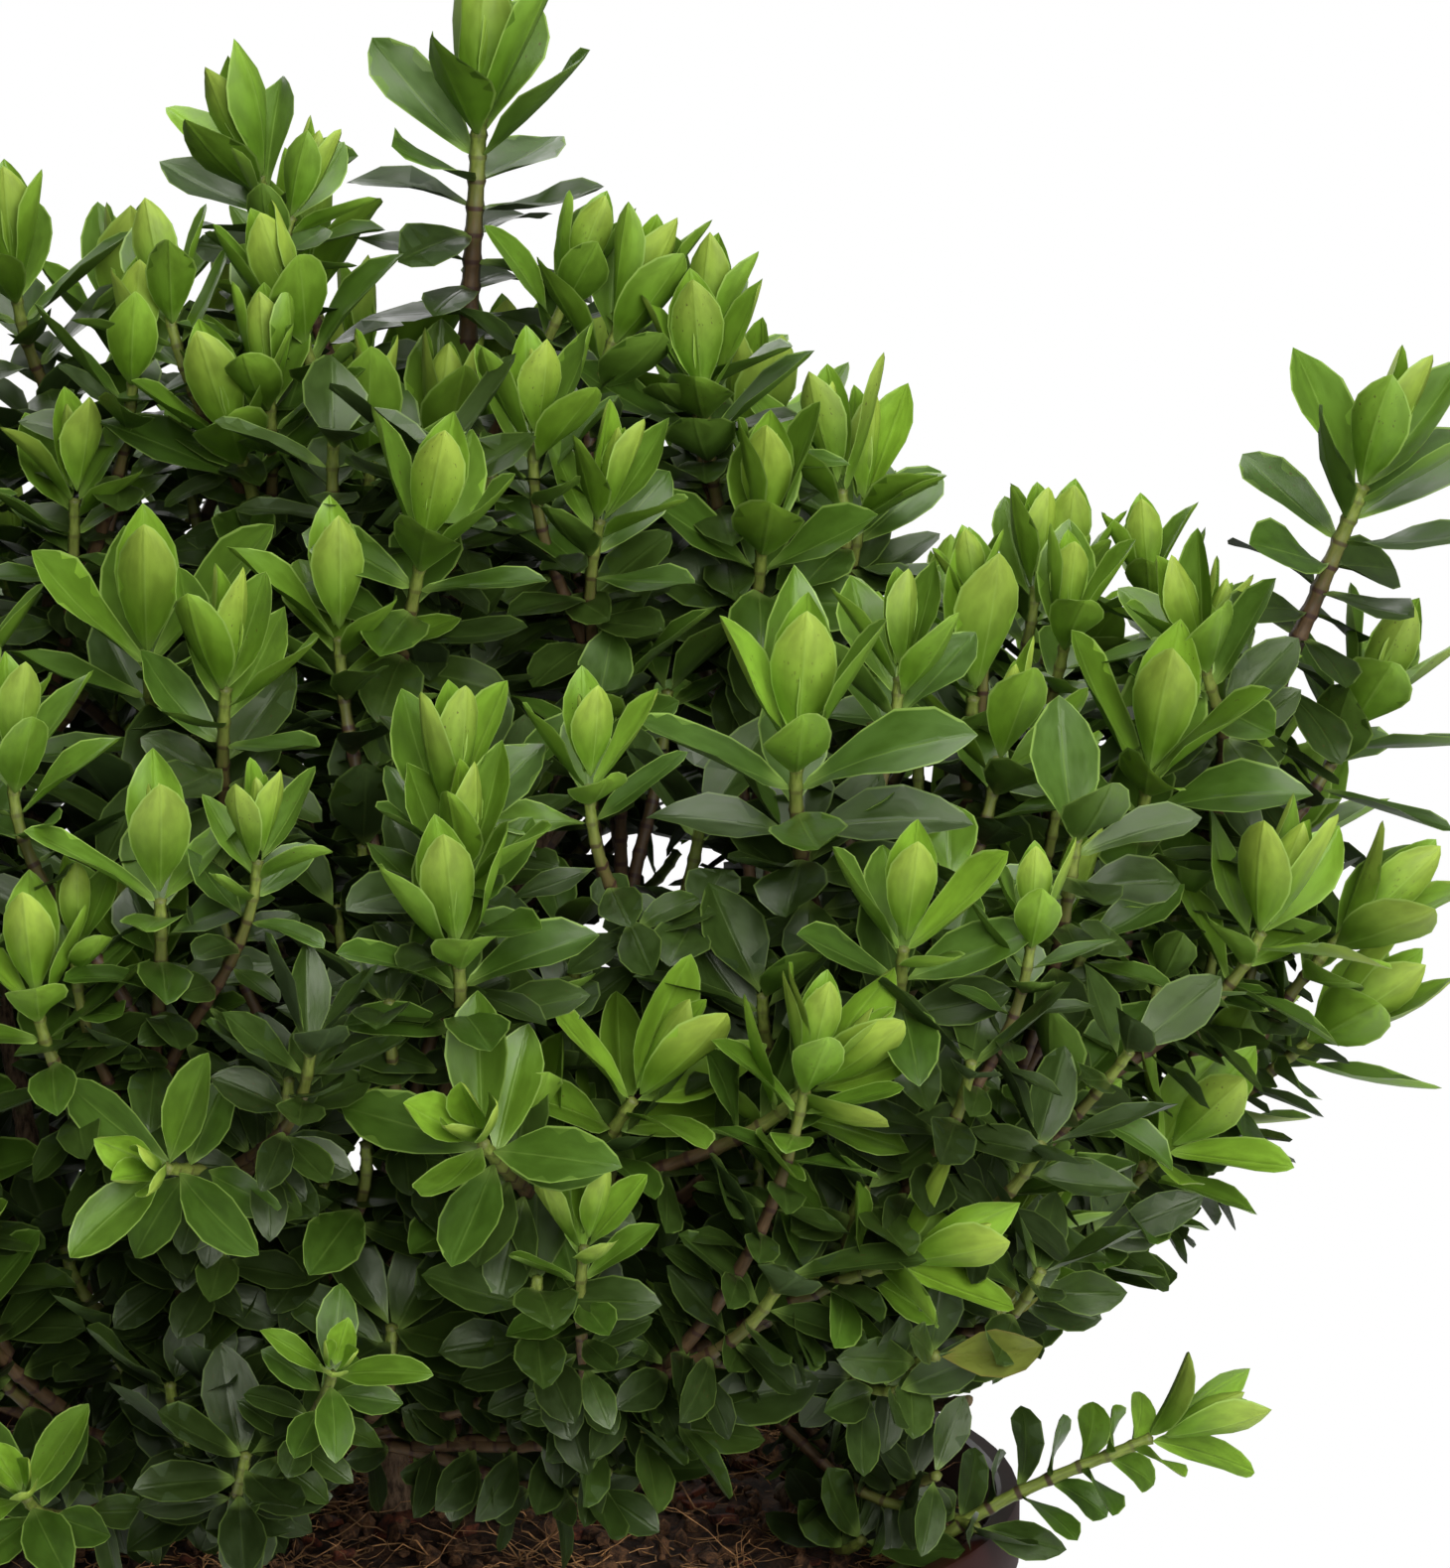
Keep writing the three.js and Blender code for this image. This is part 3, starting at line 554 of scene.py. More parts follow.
def quadratic(points, share):
    """Points along a curve through start, bend and end."""
    share = np.asarray(share, float)[..., None]
    start, bend, end = (np.asarray(point, float) for point in points)
    return (1 - share) ** 2 * start + 2 * share * (1 - share) * bend + share**2 * end


def cubic(points, share):
    share = np.asarray(share, float)[..., None]
    first, second, third, fourth = (np.asarray(point, float) for point in points)
    rest = 1 - share
    return rest**3 * first + 3 * rest**2 * share * second + 3 * rest * share**2 * third + share**3 * fourth


def lengths_along(path):
    return np.concatenate(([0.0], np.cumsum(np.linalg.norm(np.diff(path, axis=0), axis=1))))


def read_off(places, lengths, values):
    """The vectors at these places along a path."""
    return np.stack([np.interp(places, lengths, values[:, axis]) for axis in range(3)], 1)


def even_steps(path, step):
    """The same path with points at even distances."""
    lengths = lengths_along(path)
    count = max(3, int(round(lengths[-1] / step)) + 1)
    places = np.linspace(0, lengths[-1], count)
    return read_off(places, lengths, path), places


def frames_along(path):
    """Right and up at each point of a path, with no twist between them."""
    heading = unit(np.gradient(path, axis=0))
    rights = np.empty_like(path)
    side = np.array((1.0, 0.3, 0.0))
    for place, ahead in enumerate(heading):
        side = side - ahead * side.dot(ahead)
        if np.linalg.norm(side) < 1e-6:
            side = np.cross(ahead, (0.0, 1.0, 0.2))
        side = side / np.linalg.norm(side)
        rights[place] = side
    return rights, np.cross(heading, rights)


def circle_turns(sides):
    return np.arange(sides) / sides * 2 * math.pi


# ---- meshes from arrays ----
class Gathered:
    """Points, faces and map points of many small shapes that become one mesh."""

    def __init__(self):
        self.points, self.loops, self.sizes, self.maps, self.count = [], [], [], [], 0

    def add(self, points, faces, maps=None):
        """faces is an array of one face size. maps has a place on the map for each corner of each face."""
        self.points.append(np.asarray(points, float).reshape(-1, 3))
        self.add_faces(faces, maps, self.count)
        self.count += len(self.points[-1])

    def add_faces(self, faces, maps, first):
        faces = np.asarray(faces, int)
        self.loops.append((faces + first).ravel())
        self.sizes.append(np.full(len(faces), faces.shape[1]))
        maps = np.zeros((faces.size, 2)) if maps is None else np.asarray(maps, float)
        self.maps.append(maps.reshape(-1, 2))

    def more(self, faces, maps=None):
        """More faces on the points added last."""
        self.add_faces(faces, maps, self.count - len(self.points[-1]))

    def mesh_object(self, name, smooth=True, mapped=True):
        points, loops, sizes = (np.concatenate(parts) for parts in (self.points, self.loops, self.sizes))
        starts = np.concatenate(([0], np.cumsum(sizes)[:-1]))
        mesh = bpy.data.meshes.new(name)
        mesh.vertices.add(len(points))
        mesh.loops.add(len(loops))
        mesh.polygons.add(len(sizes))
        mesh.vertices.foreach_set("co", points.astype(np.float32).ravel())
        mesh.loops.foreach_set("vertex_index", loops.astype(np.int32))
        mesh.polygons.foreach_set("loop_start", starts.astype(np.int32))
        mesh.update(calc_edges=True)
        mesh.polygons.foreach_set("use_smooth", np.full(len(sizes), smooth))
        if mapped:
            layer = mesh.uv_layers.new(name="OFBake")
            layer.uv.foreach_set("vector", np.concatenate(self.maps).astype(np.float32).ravel())
        mesh.update()
        piece = bpy.data.objects.new(name, mesh)
        bpy.context.scene.collection.objects.link(piece)
        return piece


def tube_faces(rings, sides):
    """Faces of a tube whose rings of points follow each other."""
    ring, side = np.meshgrid(np.arange(rings - 1), np.arange(sides), indexing="ij")
    after = (side + 1) % sides
    low, high = ring * sides, (ring + 1) * sides
    return np.stack([low + side, low + after, high + after, high + side], -1).reshape(-1, 4)


def tube_points(path, radii, sides, bumps=None):
    right, up = frames_along(path)
    turn = circle_turns(sides)
    radius = np.asarray(radii, float)[:, None] * np.ones(sides)
    if bumps is not None:
        radius = radius + bumps
    offset = right[:, None] * np.cos(turn)[None, :, None] + up[:, None] * np.sin(turn)[None, :, None]
    return path[:, None] + offset * radius[..., None]


def tube_map(rings, sides, along):
    """Places on the map for tube_faces: across is the turn round the tube, along is given for each ring."""
    ring, side = np.meshgrid(np.arange(rings - 1), np.arange(sides), indexing="ij")
    first, second = side / sides, (side + 1) / sides
    low, high = along[ring], along[ring + 1]
    corners = [(first, low), (second, low), (second, high), (first, high)]
    return np.stack([np.stack(corner, -1) for corner in corners], 2).reshape(-1, 2)


def add_tube(gathered, path, radii, sides, along=None, bumps=None):
    """A closed tube along a path, with a cap at both ends."""
    rings = len(path)
    along = np.linspace(0, 1, rings) if along is None else along
    points = tube_points(path, radii, sides, bumps).reshape(-1, 3)
    heading = unit(np.gradient(path, axis=0))
    ends = np.stack([path[0] - heading[0] * radii[0] * 0.1, path[-1] + heading[-1] * radii[-1] * 0.4])
    gathered.add(np.concatenate([points, ends]), tube_faces(rings, sides), tube_map(rings, sides, along))
    side = np.arange(sides)
    foot, top = rings * sides, rings * sides + 1
    for end, ring, corners in ((foot, 0, (side + 1, side)), (top, rings - 1, (side, side + 1))):
        faces = [np.full(sides, end)] + [ring * sides + corner % sides for corner in corners]
        across = np.stack([side + 0.5, *corners], -1) / sides
        gathered.more(np.stack(faces, -1), np.stack([across, np.full_like(across, along[ring])], -1))


def select_only(pieces):
    """Selects these pieces and nothing else, and makes the first one active."""
    bpy.ops.object.select_all(action="DESELECT")
    for piece in pieces:
        piece.select_set(True)
    bpy.context.view_layer.objects.active = pieces[0]


def finish_piece(piece, material, replaced=()):
    piece.data.materials.clear()
    piece.data.materials.append(material)
    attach(piece, BODY)
    if replaced:
        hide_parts(*replaced)
    return piece


# ---- materials ----
class Wiring:
    """Adds nodes to one tree and joins them up."""

    def __init__(self, tree):
        self.tree = tree

    def node(self, kind, **settings):
        made = self.tree.nodes.new(kind)
        for name, value in settings.items():
            setattr(made, name, value)
        return made

    def feed(self, socket, value):
        if isinstance(value, bpy.types.NodeSocket):
            self.tree.links.new(value, socket)
        elif value is not None:
            with_alpha = hasattr(socket.default_value, "__len__") and len(socket.default_value) == 4
            socket.default_value = (*value, 1.0) if with_alpha and len(value) == 3 else value

    def made(self, kind, inputs, output=0, **settings):
        """The output of a new node whose inputs, by name or by number, are fed with these values."""
        node = self.node(kind, **settings)
        for name, value in inputs.items():
            self.feed(node.inputs[name], value)
        return node.outputs[output]

    def math(self, operation, first, second=None, clamp=False):
        return self.made("ShaderNodeMath", {0: first, 1: second}, operation=operation, use_clamp=clamp)

    def times(self, first, second, clamp=False):
        return self.math("MULTIPLY", first, second, clamp)

    def plus(self, first, second):
        return self.math("ADD", first, second)

    def minus(self, first, second, clamp=False):
        return self.math("SUBTRACT", first, second, clamp)

    def ramp(self, value, low, high, start=0.0, end=1.0, smooth=True):
        """start below low and end above high, with an even change between them."""
        inputs = {"Value": value, "From Min": low, "From Max": high, "To Min": start, "To Max": end}
        kind = "SMOOTHSTEP" if smooth else "LINEAR"
        return self.made("ShaderNodeMapRange", inputs, "Result", interpolation_type=kind)

    def spread(self, noise, start, end):
        """A ramp over the values that a noise mostly has."""
        return self.ramp(noise, 0.3, 0.7, start, end)

    def mix(self, share, first, second, blend="MIX"):
        inputs = {0: share, 6: first, 7: second}
        return self.made("ShaderNodeMix", inputs, 2, data_type="RGBA", blend_type=blend)

    def shaded(self, colour, shade):
        return self.mix(1.0, colour, self.grey(shade), "MULTIPLY")

    def noise(self, vector, scale, detail=2.0, roughness=0.5):
        inputs = {"Vector": vector, "Scale": scale, "Detail": detail, "Roughness": roughness}
        return self.made("ShaderNodeTexNoise", inputs, "Fac")

    def vector(self, first, second, third):
        return self.made("ShaderNodeCombineXYZ", {0: first, 1: second, 2: third})

    def grey(self, value):
        return self.vector(value, value, value)

    def parts(self, vector):
        split = self.node("ShaderNodeSeparateXYZ")
        self.feed(split.inputs[0], vector)
        return split.outputs

    def bump(self, height, strength, distance):
        inputs = {"Height": height, "Strength": strength, "Distance": distance}
        return self.made("ShaderNodeBump", inputs, "Normal")

    def place(self):
        """Where a point is on its object."""
        return self.node("ShaderNodeTexCoord").outputs["Object"]

    def on_map(self):
        return self.node("ShaderNodeUVMap", uv_map="OFBake").outputs["UV"]

    def seen(self):
        """1 where the camera looks straight at a face, 0 for light that it throws back."""
        return self.node("ShaderNodeLightPath").outputs["Is Camera Ray"]


class Finish(Wiring):
    """A new material, its wiring and its shader."""

    def __init__(self, name):
        self.material = bpy.data.materials.new(name)
        self.material.use_nodes = True
        super().__init__(self.material.node_tree)
        self.shader = self.tree.nodes["Principled BSDF"]

    def finished(self, colour, roughness, normal=None):
        self.feed(self.shader.inputs["Base Color"], colour)
        self.feed(self.shader.inputs["Roughness"], roughness)
        self.feed(self.shader.inputs["Normal"], normal)
        return self.material


def scaled(colour, factor, added=0.0):
    return tuple(min(1.0, value * factor + added) for value in colour)


def leaf_pattern():
    """The parts of a leaf as masks, read from the leaf map: its side, edge, midrib, foot and mottling."""
    name = "leaf pattern"
    if name in bpy.data.node_groups:
        return bpy.data.node_groups[name]
    tree = bpy.data.node_groups.new(name, "ShaderNodeTree")
    wire = Wiring(tree)
    place = wire.parts(wire.on_map())
    columns = wire.times(place[0], MAP_TINTS * 2.0)
    rows = wire.times(place[1], float(MAP_ROWS))
    column = wire.math("FLOOR", columns)
    row = wire.math("FLOOR", rows)
    tint_column = wire.math("FLOOR", wire.math("DIVIDE", column, 2.0))
    across = wire.math("DIVIDE", wire.minus(wire.math("FRACT", columns), 0.5), MAP_HALF)
    along = wire.math("DIVIDE", wire.minus(wire.math("FRACT", rows), MAP_FOOT), MAP_LENGTH, clamp=True)
    away = wire.math("ABSOLUTE", across)
    width = wire.math("SQRT", wire.times(wire.times(along, 4.0), wire.minus(1.0, along), clamp=True))
    from_edge = wire.times(wire.minus(1.0, away, clamp=True), width)
    from_midrib = wire.times(away, width)
    chance = wire.node("ShaderNodeTexWhiteNoise", noise_dimensions="3D")
    wire.feed(chance.inputs["Vector"], wire.vector(tint_column, row, 3.0))
    chances = wire.parts(chance.outputs["Color"])
    own = wire.vector(across, wire.times(along, 1.9), wire.times(chance.outputs["Value"], 40.0))
    mottle = wire.noise(own, 2.2, 3.0)
    fine = wire.noise(own, 9.0, 2.0)
    midrib = wire.ramp(from_midrib, 0.012, 0.045, 1.0, 0.0)
    results = {
        "Underside": wire.math("MODULO", column, 2.0),
        "Along": along,
        "Edge": wire.ramp(from_edge, 0.035, 0.085, 1.0, 0.0),
        "Midrib": wire.times(midrib, wire.ramp(along, 0.6, 0.98, 1.0, 0.2)),
        "Foot": wire.ramp(along, 0.02, 0.2, 1.0, 0.0),
        "Mottle": mottle,
        "Tint": chances[0],
        "Warmth": chances[1],
        "Blemish": wire.times(wire.ramp(fine, 0.66, 0.72), wire.ramp(chances[2], 0.7, 0.75)),
        "Height": wire.plus(wire.ramp(from_midrib, 0.0, 0.12), wire.times(mottle, 0.8)),
    }
    for output in results:
        tree.interface.new_socket(name=output, in_out="OUTPUT", socket_type="NodeSocketFloat")
    end = wire.node("NodeGroupOutput")
    for output, result in results.items():
        wire.feed(end.inputs[output], result)
    return tree


def leaf_material(name, upper, under, under_foot, margin, edge, gloss, tints, shine):
    """A leaf: upper face, paler underside that is greener at its foot, thin pale edge and midrib. tints is
    how much its tints differ, edge how much the margin stands out."""
    wire = Finish(name)
    out = wire.node("ShaderNodeGroup", node_tree=leaf_pattern()).outputs
    below = wire.mix(wire.ramp(out["Along"], 0.2, 1.05), under_foot, under)
    face = wire.mix(out["Underside"], upper, below)
    face = wire.shaded(face, wire.ramp(out["Tint"], 0.0, 1.0, 1.0 - tints, 1.0 + tints, smooth=False))
    warm = wire.mix(wire.times(out["Warmth"], 0.22), (1.0, 1.0, 1.0), (1.25, 1.05, 0.6))
    face = wire.mix(1.0, face, warm, "MULTIPLY")
    face = wire.shaded(face, wire.spread(out["Mottle"], 0.84, 1.14))
    for mask, share in (("Foot", 0.4), ("Midrib", edge * 0.3), ("Edge", edge)):
        face = wire.mix(wire.times(out[mask], share), face, margin)
    face = wire.mix(wire.times(out["Blemish"], 0.7), face, linear(70, 52, 26))
    rough = wire.spread(out["Mottle"], gloss - 0.05, gloss + 0.07)
    rough = wire.plus(rough, wire.times(out["Underside"], 0.16))
    wire.shader.inputs["Specular IOR Level"].default_value = shine
    wire.shader.inputs["Specular Tint"].default_value = (0.92, 1.0, 0.8, 1.0)
    return wire.finished(face, rough, wire.bump(out["Height"], 0.35, 0.0003))


def shoot_material(name, settings, oldest):
    """The stem of a shoot: green under the bud, brown from its oldest pair on, a dark ring at each pair."""
    wire = Finish(name)
    place = wire.parts(wire.on_map())
    nodes = wire.times(place[1], RING_ROWS)
    inner = wire.math("FRACT", wire.plus(nodes, 0.5))
    ring = wire.ramp(wire.math("ABSOLUTE", wire.minus(inner, 0.5)), 0.05, 0.13, 1.0, 0.0)
    turn = wire.times(place[0], 2 * math.pi)
    around = wire.vector(wire.math("COSINE", turn), wire.math("SINE", turn), nodes)
    streak = wire.noise(around, 2.6, 3.0)
    age = wire.ramp(wire.plus(nodes, wire.times(streak, 3.0)), oldest / 3.0, oldest)
    face = wire.mix(age, tuple(settings.green_stem), tuple(settings.brown_stem))
    face = wire.shaded(face, wire.spread(streak, 0.75, 1.2))
    ringed = wire.times(ring, wire.ramp(nodes, 1.5, 4.0, 0.35, 0.95))
    face = wire.mix(ringed, face, tuple(settings.ring))
    return wire.finished(face, wire.spread(streak, 0.5, 0.68))


def bark_material(name, colour, scale):
    """Rough bark: fine cracks along the limb, paler ridges and a little green bloom."""
    wire = Finish(name)
    place = wire.place()
    stretched = wire.made("ShaderNodeMapping", {"Vector": place, "Scale": (1.0, 1.0, 0.35)})
    cracks = wire.noise(stretched, scale, 6.0, 0.65)
    patches = wire.noise(place, scale * 0.16, 3.0)
    face = wire.mix(wire.ramp(cracks, 0.35, 0.66), scaled(colour, 0.4), scaled(colour, 1.7, 0.02))
    face = wire.mix(wire.ramp(patches, 0.5, 0.68, 0.0, 0.45), face, linear(96, 104, 52))
    return wire.finished(face, wire.spread(cracks, 0.9, 0.7), wire.bump(cracks, 0.6, 0.0005))


def grain_material(name, first, second, scale, low_rough, high_rough, height):
    """Two colours in a broken grain, for compost, crumbs, fibres and chips."""
    wire = Finish(name)
    place = wire.place()
    coarse = wire.noise(place, scale, 5.0, 0.6)
    fine = wire.noise(place, scale * 5.0, 3.0, 0.6)
    face = wire.mix(wire.ramp(coarse, 0.38, 0.64), first, second)
    face = wire.shaded(face, wire.spread(fine, 0.6, 1.35))
    return wire.finished(face, wire.spread(fine, low_rough, high_rough), wire.bump(fine, 0.7, height))


def plastic_material(settings):
    """Thin moulded plastic: a dull sheen with fine scuffs and a film of dust that thickens to the foot."""
    wire = Finish("pot plastic")
    place = wire.place()
    height = wire.parts(place)[2]
    scuffs = wire.noise(place, 420.0, 4.0, 0.7)
    clouds = wire.noise(place, 26.0, 4.0)
    dust = wire.times(wire.ramp(clouds, 0.4, 0.75), wire.ramp(height, 0.0, POT_HEIGHT, 0.10, 0.02))
    colour = tuple(settings.plastic)
    worn = wire.mix(wire.ramp(scuffs, 0.58, 0.74, 0.0, 0.35), colour, scaled(colour, 2.1, 0.01))
    face = wire.mix(dust, worn, linear(142, 122, 104))
    return wire.finished(face, wire.spread(clouds, 0.32, 0.46), wire.bump(scuffs, 0.15, 0.0002))
# ---- the limbs ----
def stem_curve(name):
    foot, bend, tip = STEMS[name][:3]
    start = (*foot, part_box("stem_" + name)[0].z)
    return np.array((start, (*bend[:2], STEM_BASE + bend[2]), (*tip[:2], STEM_BASE + tip[2])))


def bough_curve(name):
    middle, stem, leaves_at, _ = BOUGHS[name]
    sag, swing = BENT.get(name, STRAIGHT)
    start = quadratic(stem_curve(stem), [leaves_at])[0]
    end = np.array(middle)
    bend = start + (end - start) * (swing, swing, BEND_RISE)
    bend[2] -= sag
    return np.array((start, bend, end))


def limb_relief(places, sides, seed):
    """How far the bark stands out at each ring and side: ridges along the limb, a scar at each old leaf."""
    random = np.random.default_rng(seed)
    turn = circle_turns(sides)
    ridges = np.zeros((len(places), sides))
    for wave in range(1, 6):
        twist, shift = random.uniform(-90, 90), random.uniform(0, 2 * math.pi)
        sway = np.sin(places * random.uniform(140, 900) + random.uniform(0, 6))
        ridge = np.cos(wave * turn[None] + places[:, None] * twist + shift)
        ridges += ridge * (0.55 + 0.45 * sway[:, None]) / wave
    grain = random.normal(0, 0.35, ridges.shape)
    scars = np.exp(-(((places / SCAR_SPACING) % 1.0 - 0.5) / 0.12) ** 2)[:, None]
    return BARK_RELIEF * (ridges * 0.6 + grain) + SCAR_HEIGHT * scars


def add_limb(gathered, curve, radius_at, seed, flat_foot=False, until=1.0):
    path, places = even_steps(quadratic(curve, np.linspace(0, until, CURVE_STEPS)), BARK_STEP)
    along = until * places / places[-1]
    radii = np.array([radius_at(share) for share in along])
    relief = limb_relief(places, BARK_SIDES, seed)
    if flat_foot:
        relief[0] = 0.0
    add_tube(gathered, path, radii, BARK_SIDES, along, relief)


def last_shoot(curve, feet):
    """How far along a limb its last shoot leaves it. The limb ends there."""
    shares = np.linspace(0, 1, CURVE_STEPS)
    gaps = np.linalg.norm(quadratic(curve, shares)[:, None] - feet[None], axis=2).min(1)
    return float(shares[gaps < AT_LIMB].max()) + PAST_SHOOT


class HEBE_OT_limbs(bpy.types.Operator):
    """Stems and boughs with the relief of their bark"""

    bl_idname = "hebe.limbs"
    bl_label = "Stems and boughs"

    def execute(self, context):
        settings = context.scene.hebe_crown
        colour = tuple(settings.bark)
        gathered = Gathered()
        for order, name in enumerate(WOODY):
            add_limb(gathered, stem_curve(name), self.stem_radius(name), BARK_SEED + order, flat_foot=True)
        stems = gathered.mesh_object("stem_bark")
        material = bark_material("stem bark", colour, 900.0)
        finish_piece(stems, material, ["stem_" + name for name in WOODY])
        gathered = Gathered()
        feet = np.array([shoot["path"][0] for shoot in grown(context)[0]])
        for order, name in enumerate(BOUGHS):
            curve = bough_curve(name)
            until = TALL_FROM + 0.04 if name in TALL_BOUGHS else last_shoot(curve, feet)
            add_limb(gathered, curve, self.bough_radius(name), BOUGH_SEED + order, until=until)
        boughs = gathered.mesh_object("bough_bark")
        young = tuple(0.5 * (a + b) for a, b in zip(colour, settings.brown_stem))
        material = bark_material("bough bark", young, 1000.0)
        finish_piece(boughs, material, ["bough_" + name for name in BOUGHS])
        return {"FINISHED"}

    def stem_radius(self, name):
        """The radius of a stem at each share of its length, with the flare at its root."""
        thick, thin = STEMS[name][3:]

        def radius_at(share):
            flare = 1 + (FLARE - 1) * max(0.0, 1 - share / FLARE_LENGTH) ** 2
            return (thick + (thin - thick) * share) * flare

        return radius_at

    def bough_radius(self, name):
        return lambda share: BOUGHS[name][3] * (1 - BOUGH_TAPER * share)


# ---- the branching rule ----
def camera_axes():
    """The camera's directions ahead, right and up."""
    sideways, depth = math.sin(CAMERA_YAW), math.cos(CAMERA_YAW)
    level, fall = math.cos(CAMERA_PITCH), -math.sin(CAMERA_PITCH)
    ahead = np.array((sideways * level, depth * level, fall))
    right = np.array((depth, -sideways, 0.0))
    return ahead, right, np.cross(right, ahead)


AHEAD, RIGHT, UP = camera_axes()
UPRIGHT = np.array((0.0, 0.0, 1.0))


def foliage_tree(left_out=()):
    """The surface of all the masses of foliage together."""
    points, faces = [], []
    for name, node in sorted(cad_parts.items()):
        if name.startswith("foliage_") and name not in left_out:
            first = len(points)
            points += [vertex.co.copy() for vertex in node.data.vertices]
            faces += [[first + index for index in polygon.vertices] for polygon in node.data.polygons]
    return BVHTree.FromPolygons(points, faces), points, faces


def tip_behind(across, down, tree):
    """The place on the foliage's front that shows at this point of the picture."""
    ray = unit(AHEAD * FOCAL_PIXELS + RIGHT * (across - PICTURE_WIDTH / 2) - UP * (down - PICTURE_HEIGHT / 2))
    hit = tree.ray_cast(Vector(CAMERA_PLACE), Vector(ray))[0]
    if hit is not None:
        return np.array(hit)
    points = [CAMERA_PLACE + ray * reach for reach in REACHES]
    return min(points, key=lambda point: tree.find_nearest(Vector(point))[3])


def own_seed(across, down):
    """A seed of its own for each named shoot, so that it grows the same whatever stands round it."""
    return 7919 * abs(across) + 104729 * abs(down)


def placed_shoot(row, tree, kind):
    """A shoot whose tip shows at a given point of the picture."""
    across, down, lean, toward, size, opening, turn, *forward = row
    lean, toward = math.radians(lean), math.radians(toward)
    level = unit(np.array((AHEAD[0], AHEAD[1], 0.0)))
    beside = UPRIGHT * math.cos(lean) + RIGHT * math.sin(lean)
    tip = tip_behind(across, down, tree)
    tip = tip + unit(CAMERA_PLACE - tip) * (forward[0] if forward else 0.0)
    # Painted light and shade: a shade shoot's leaves look older and darker, a named shoot's low on the right
    # younger and brighter
    lit = tip[0] > SHADE_SIDE and tip[2] < PAINTED_LIGHT_HEIGHT
    return {
        "tip": tip,
        "heading": unit(math.cos(toward) * beside - math.sin(toward) * level),
        "size": size,
        "opening": opening,
        "kind": kind,
        "turn": math.radians(turn),
        "named": True,
        "age": PAINTED_SHADE_AGE if kind == "shade" else PAINTED_LIGHT_AGE if lit else 0.0,
        "seed": own_seed(across, down),
    }


def picture_place(point):
    """Where a point shows in the picture."""
    gap = point - CAMERA_PLACE
    scale = FOCAL_PIXELS / gap.dot(AHEAD)
    return PICTURE_WIDTH / 2 + scale * gap.dot(RIGHT), PICTURE_HEIGHT / 2 - scale * gap.dot(UP)


def shows_in_front(point, outward, tree):
    """True for a place on the crown that the camera sees."""
    across, down = picture_place(point)
    if not (-40 < across < PICTURE_WIDTH + 40 and -40 < down < PICTURE_HEIGHT + 40):
        return False
    ray = unit(CAMERA_PLACE - point)
    return tree.ray_cast(Vector(point + outward * 0.004), Vector(ray), 0.6)[0] is None


# Painted light and shade: how many pairs older a shaded shoot's leaves look, darker on the left and brighter
# on the right, by height
def painted_light_and_shade_ages(place):
    if place[0] > SHADE_SIDE:
        return LOW_PAINTED_LIGHT_AGES if place[2] < LOW_SHADE else PAINTED_LIGHT_AGES
    return LOW_PAINTED_SHADE_AGES if place[2] < LOW_SHADE else PAINTED_SHADE_AGES


def crown_places(random):
    """Random places all over the masses of foliage, but for those of the single shoots."""
    _, points, faces = foliage_tree(SINGLE_SHOOTS)
    corners = np.array([[tuple(points[index]) for index in face[:3]] for face in faces])
    first, second, third = (corners[:, corner] for corner in range(3))
    areas = np.linalg.norm(np.cross(second - first, third - first), axis=1)
    chosen = random.choice(len(corners), TRIES, p=areas / areas.sum())
    shares = np.sort(random.random((TRIES, 2)), axis=1)
    weights = np.stack([shares[:, 0], shares[:, 1] - shares[:, 0], 1 - shares[:, 1]], 1)
    return (corners[chosen] * weights[..., None]).sum(1)


def closed_places(taken):
    """Where the sky shows, and where the open shoots stand: across and down the picture, and how wide."""
    gaps = [(across, down, wide + GAP_ROOM) for across, down, wide in SKY_GAPS]
    wide_open = [shoot for shoot in taken if shoot["opening"] > STAR_OPENING]
    return gaps, [(*picture_place(shoot["tip"]), STAR_ROOM * shoot["size"]) for shoot in wide_open]


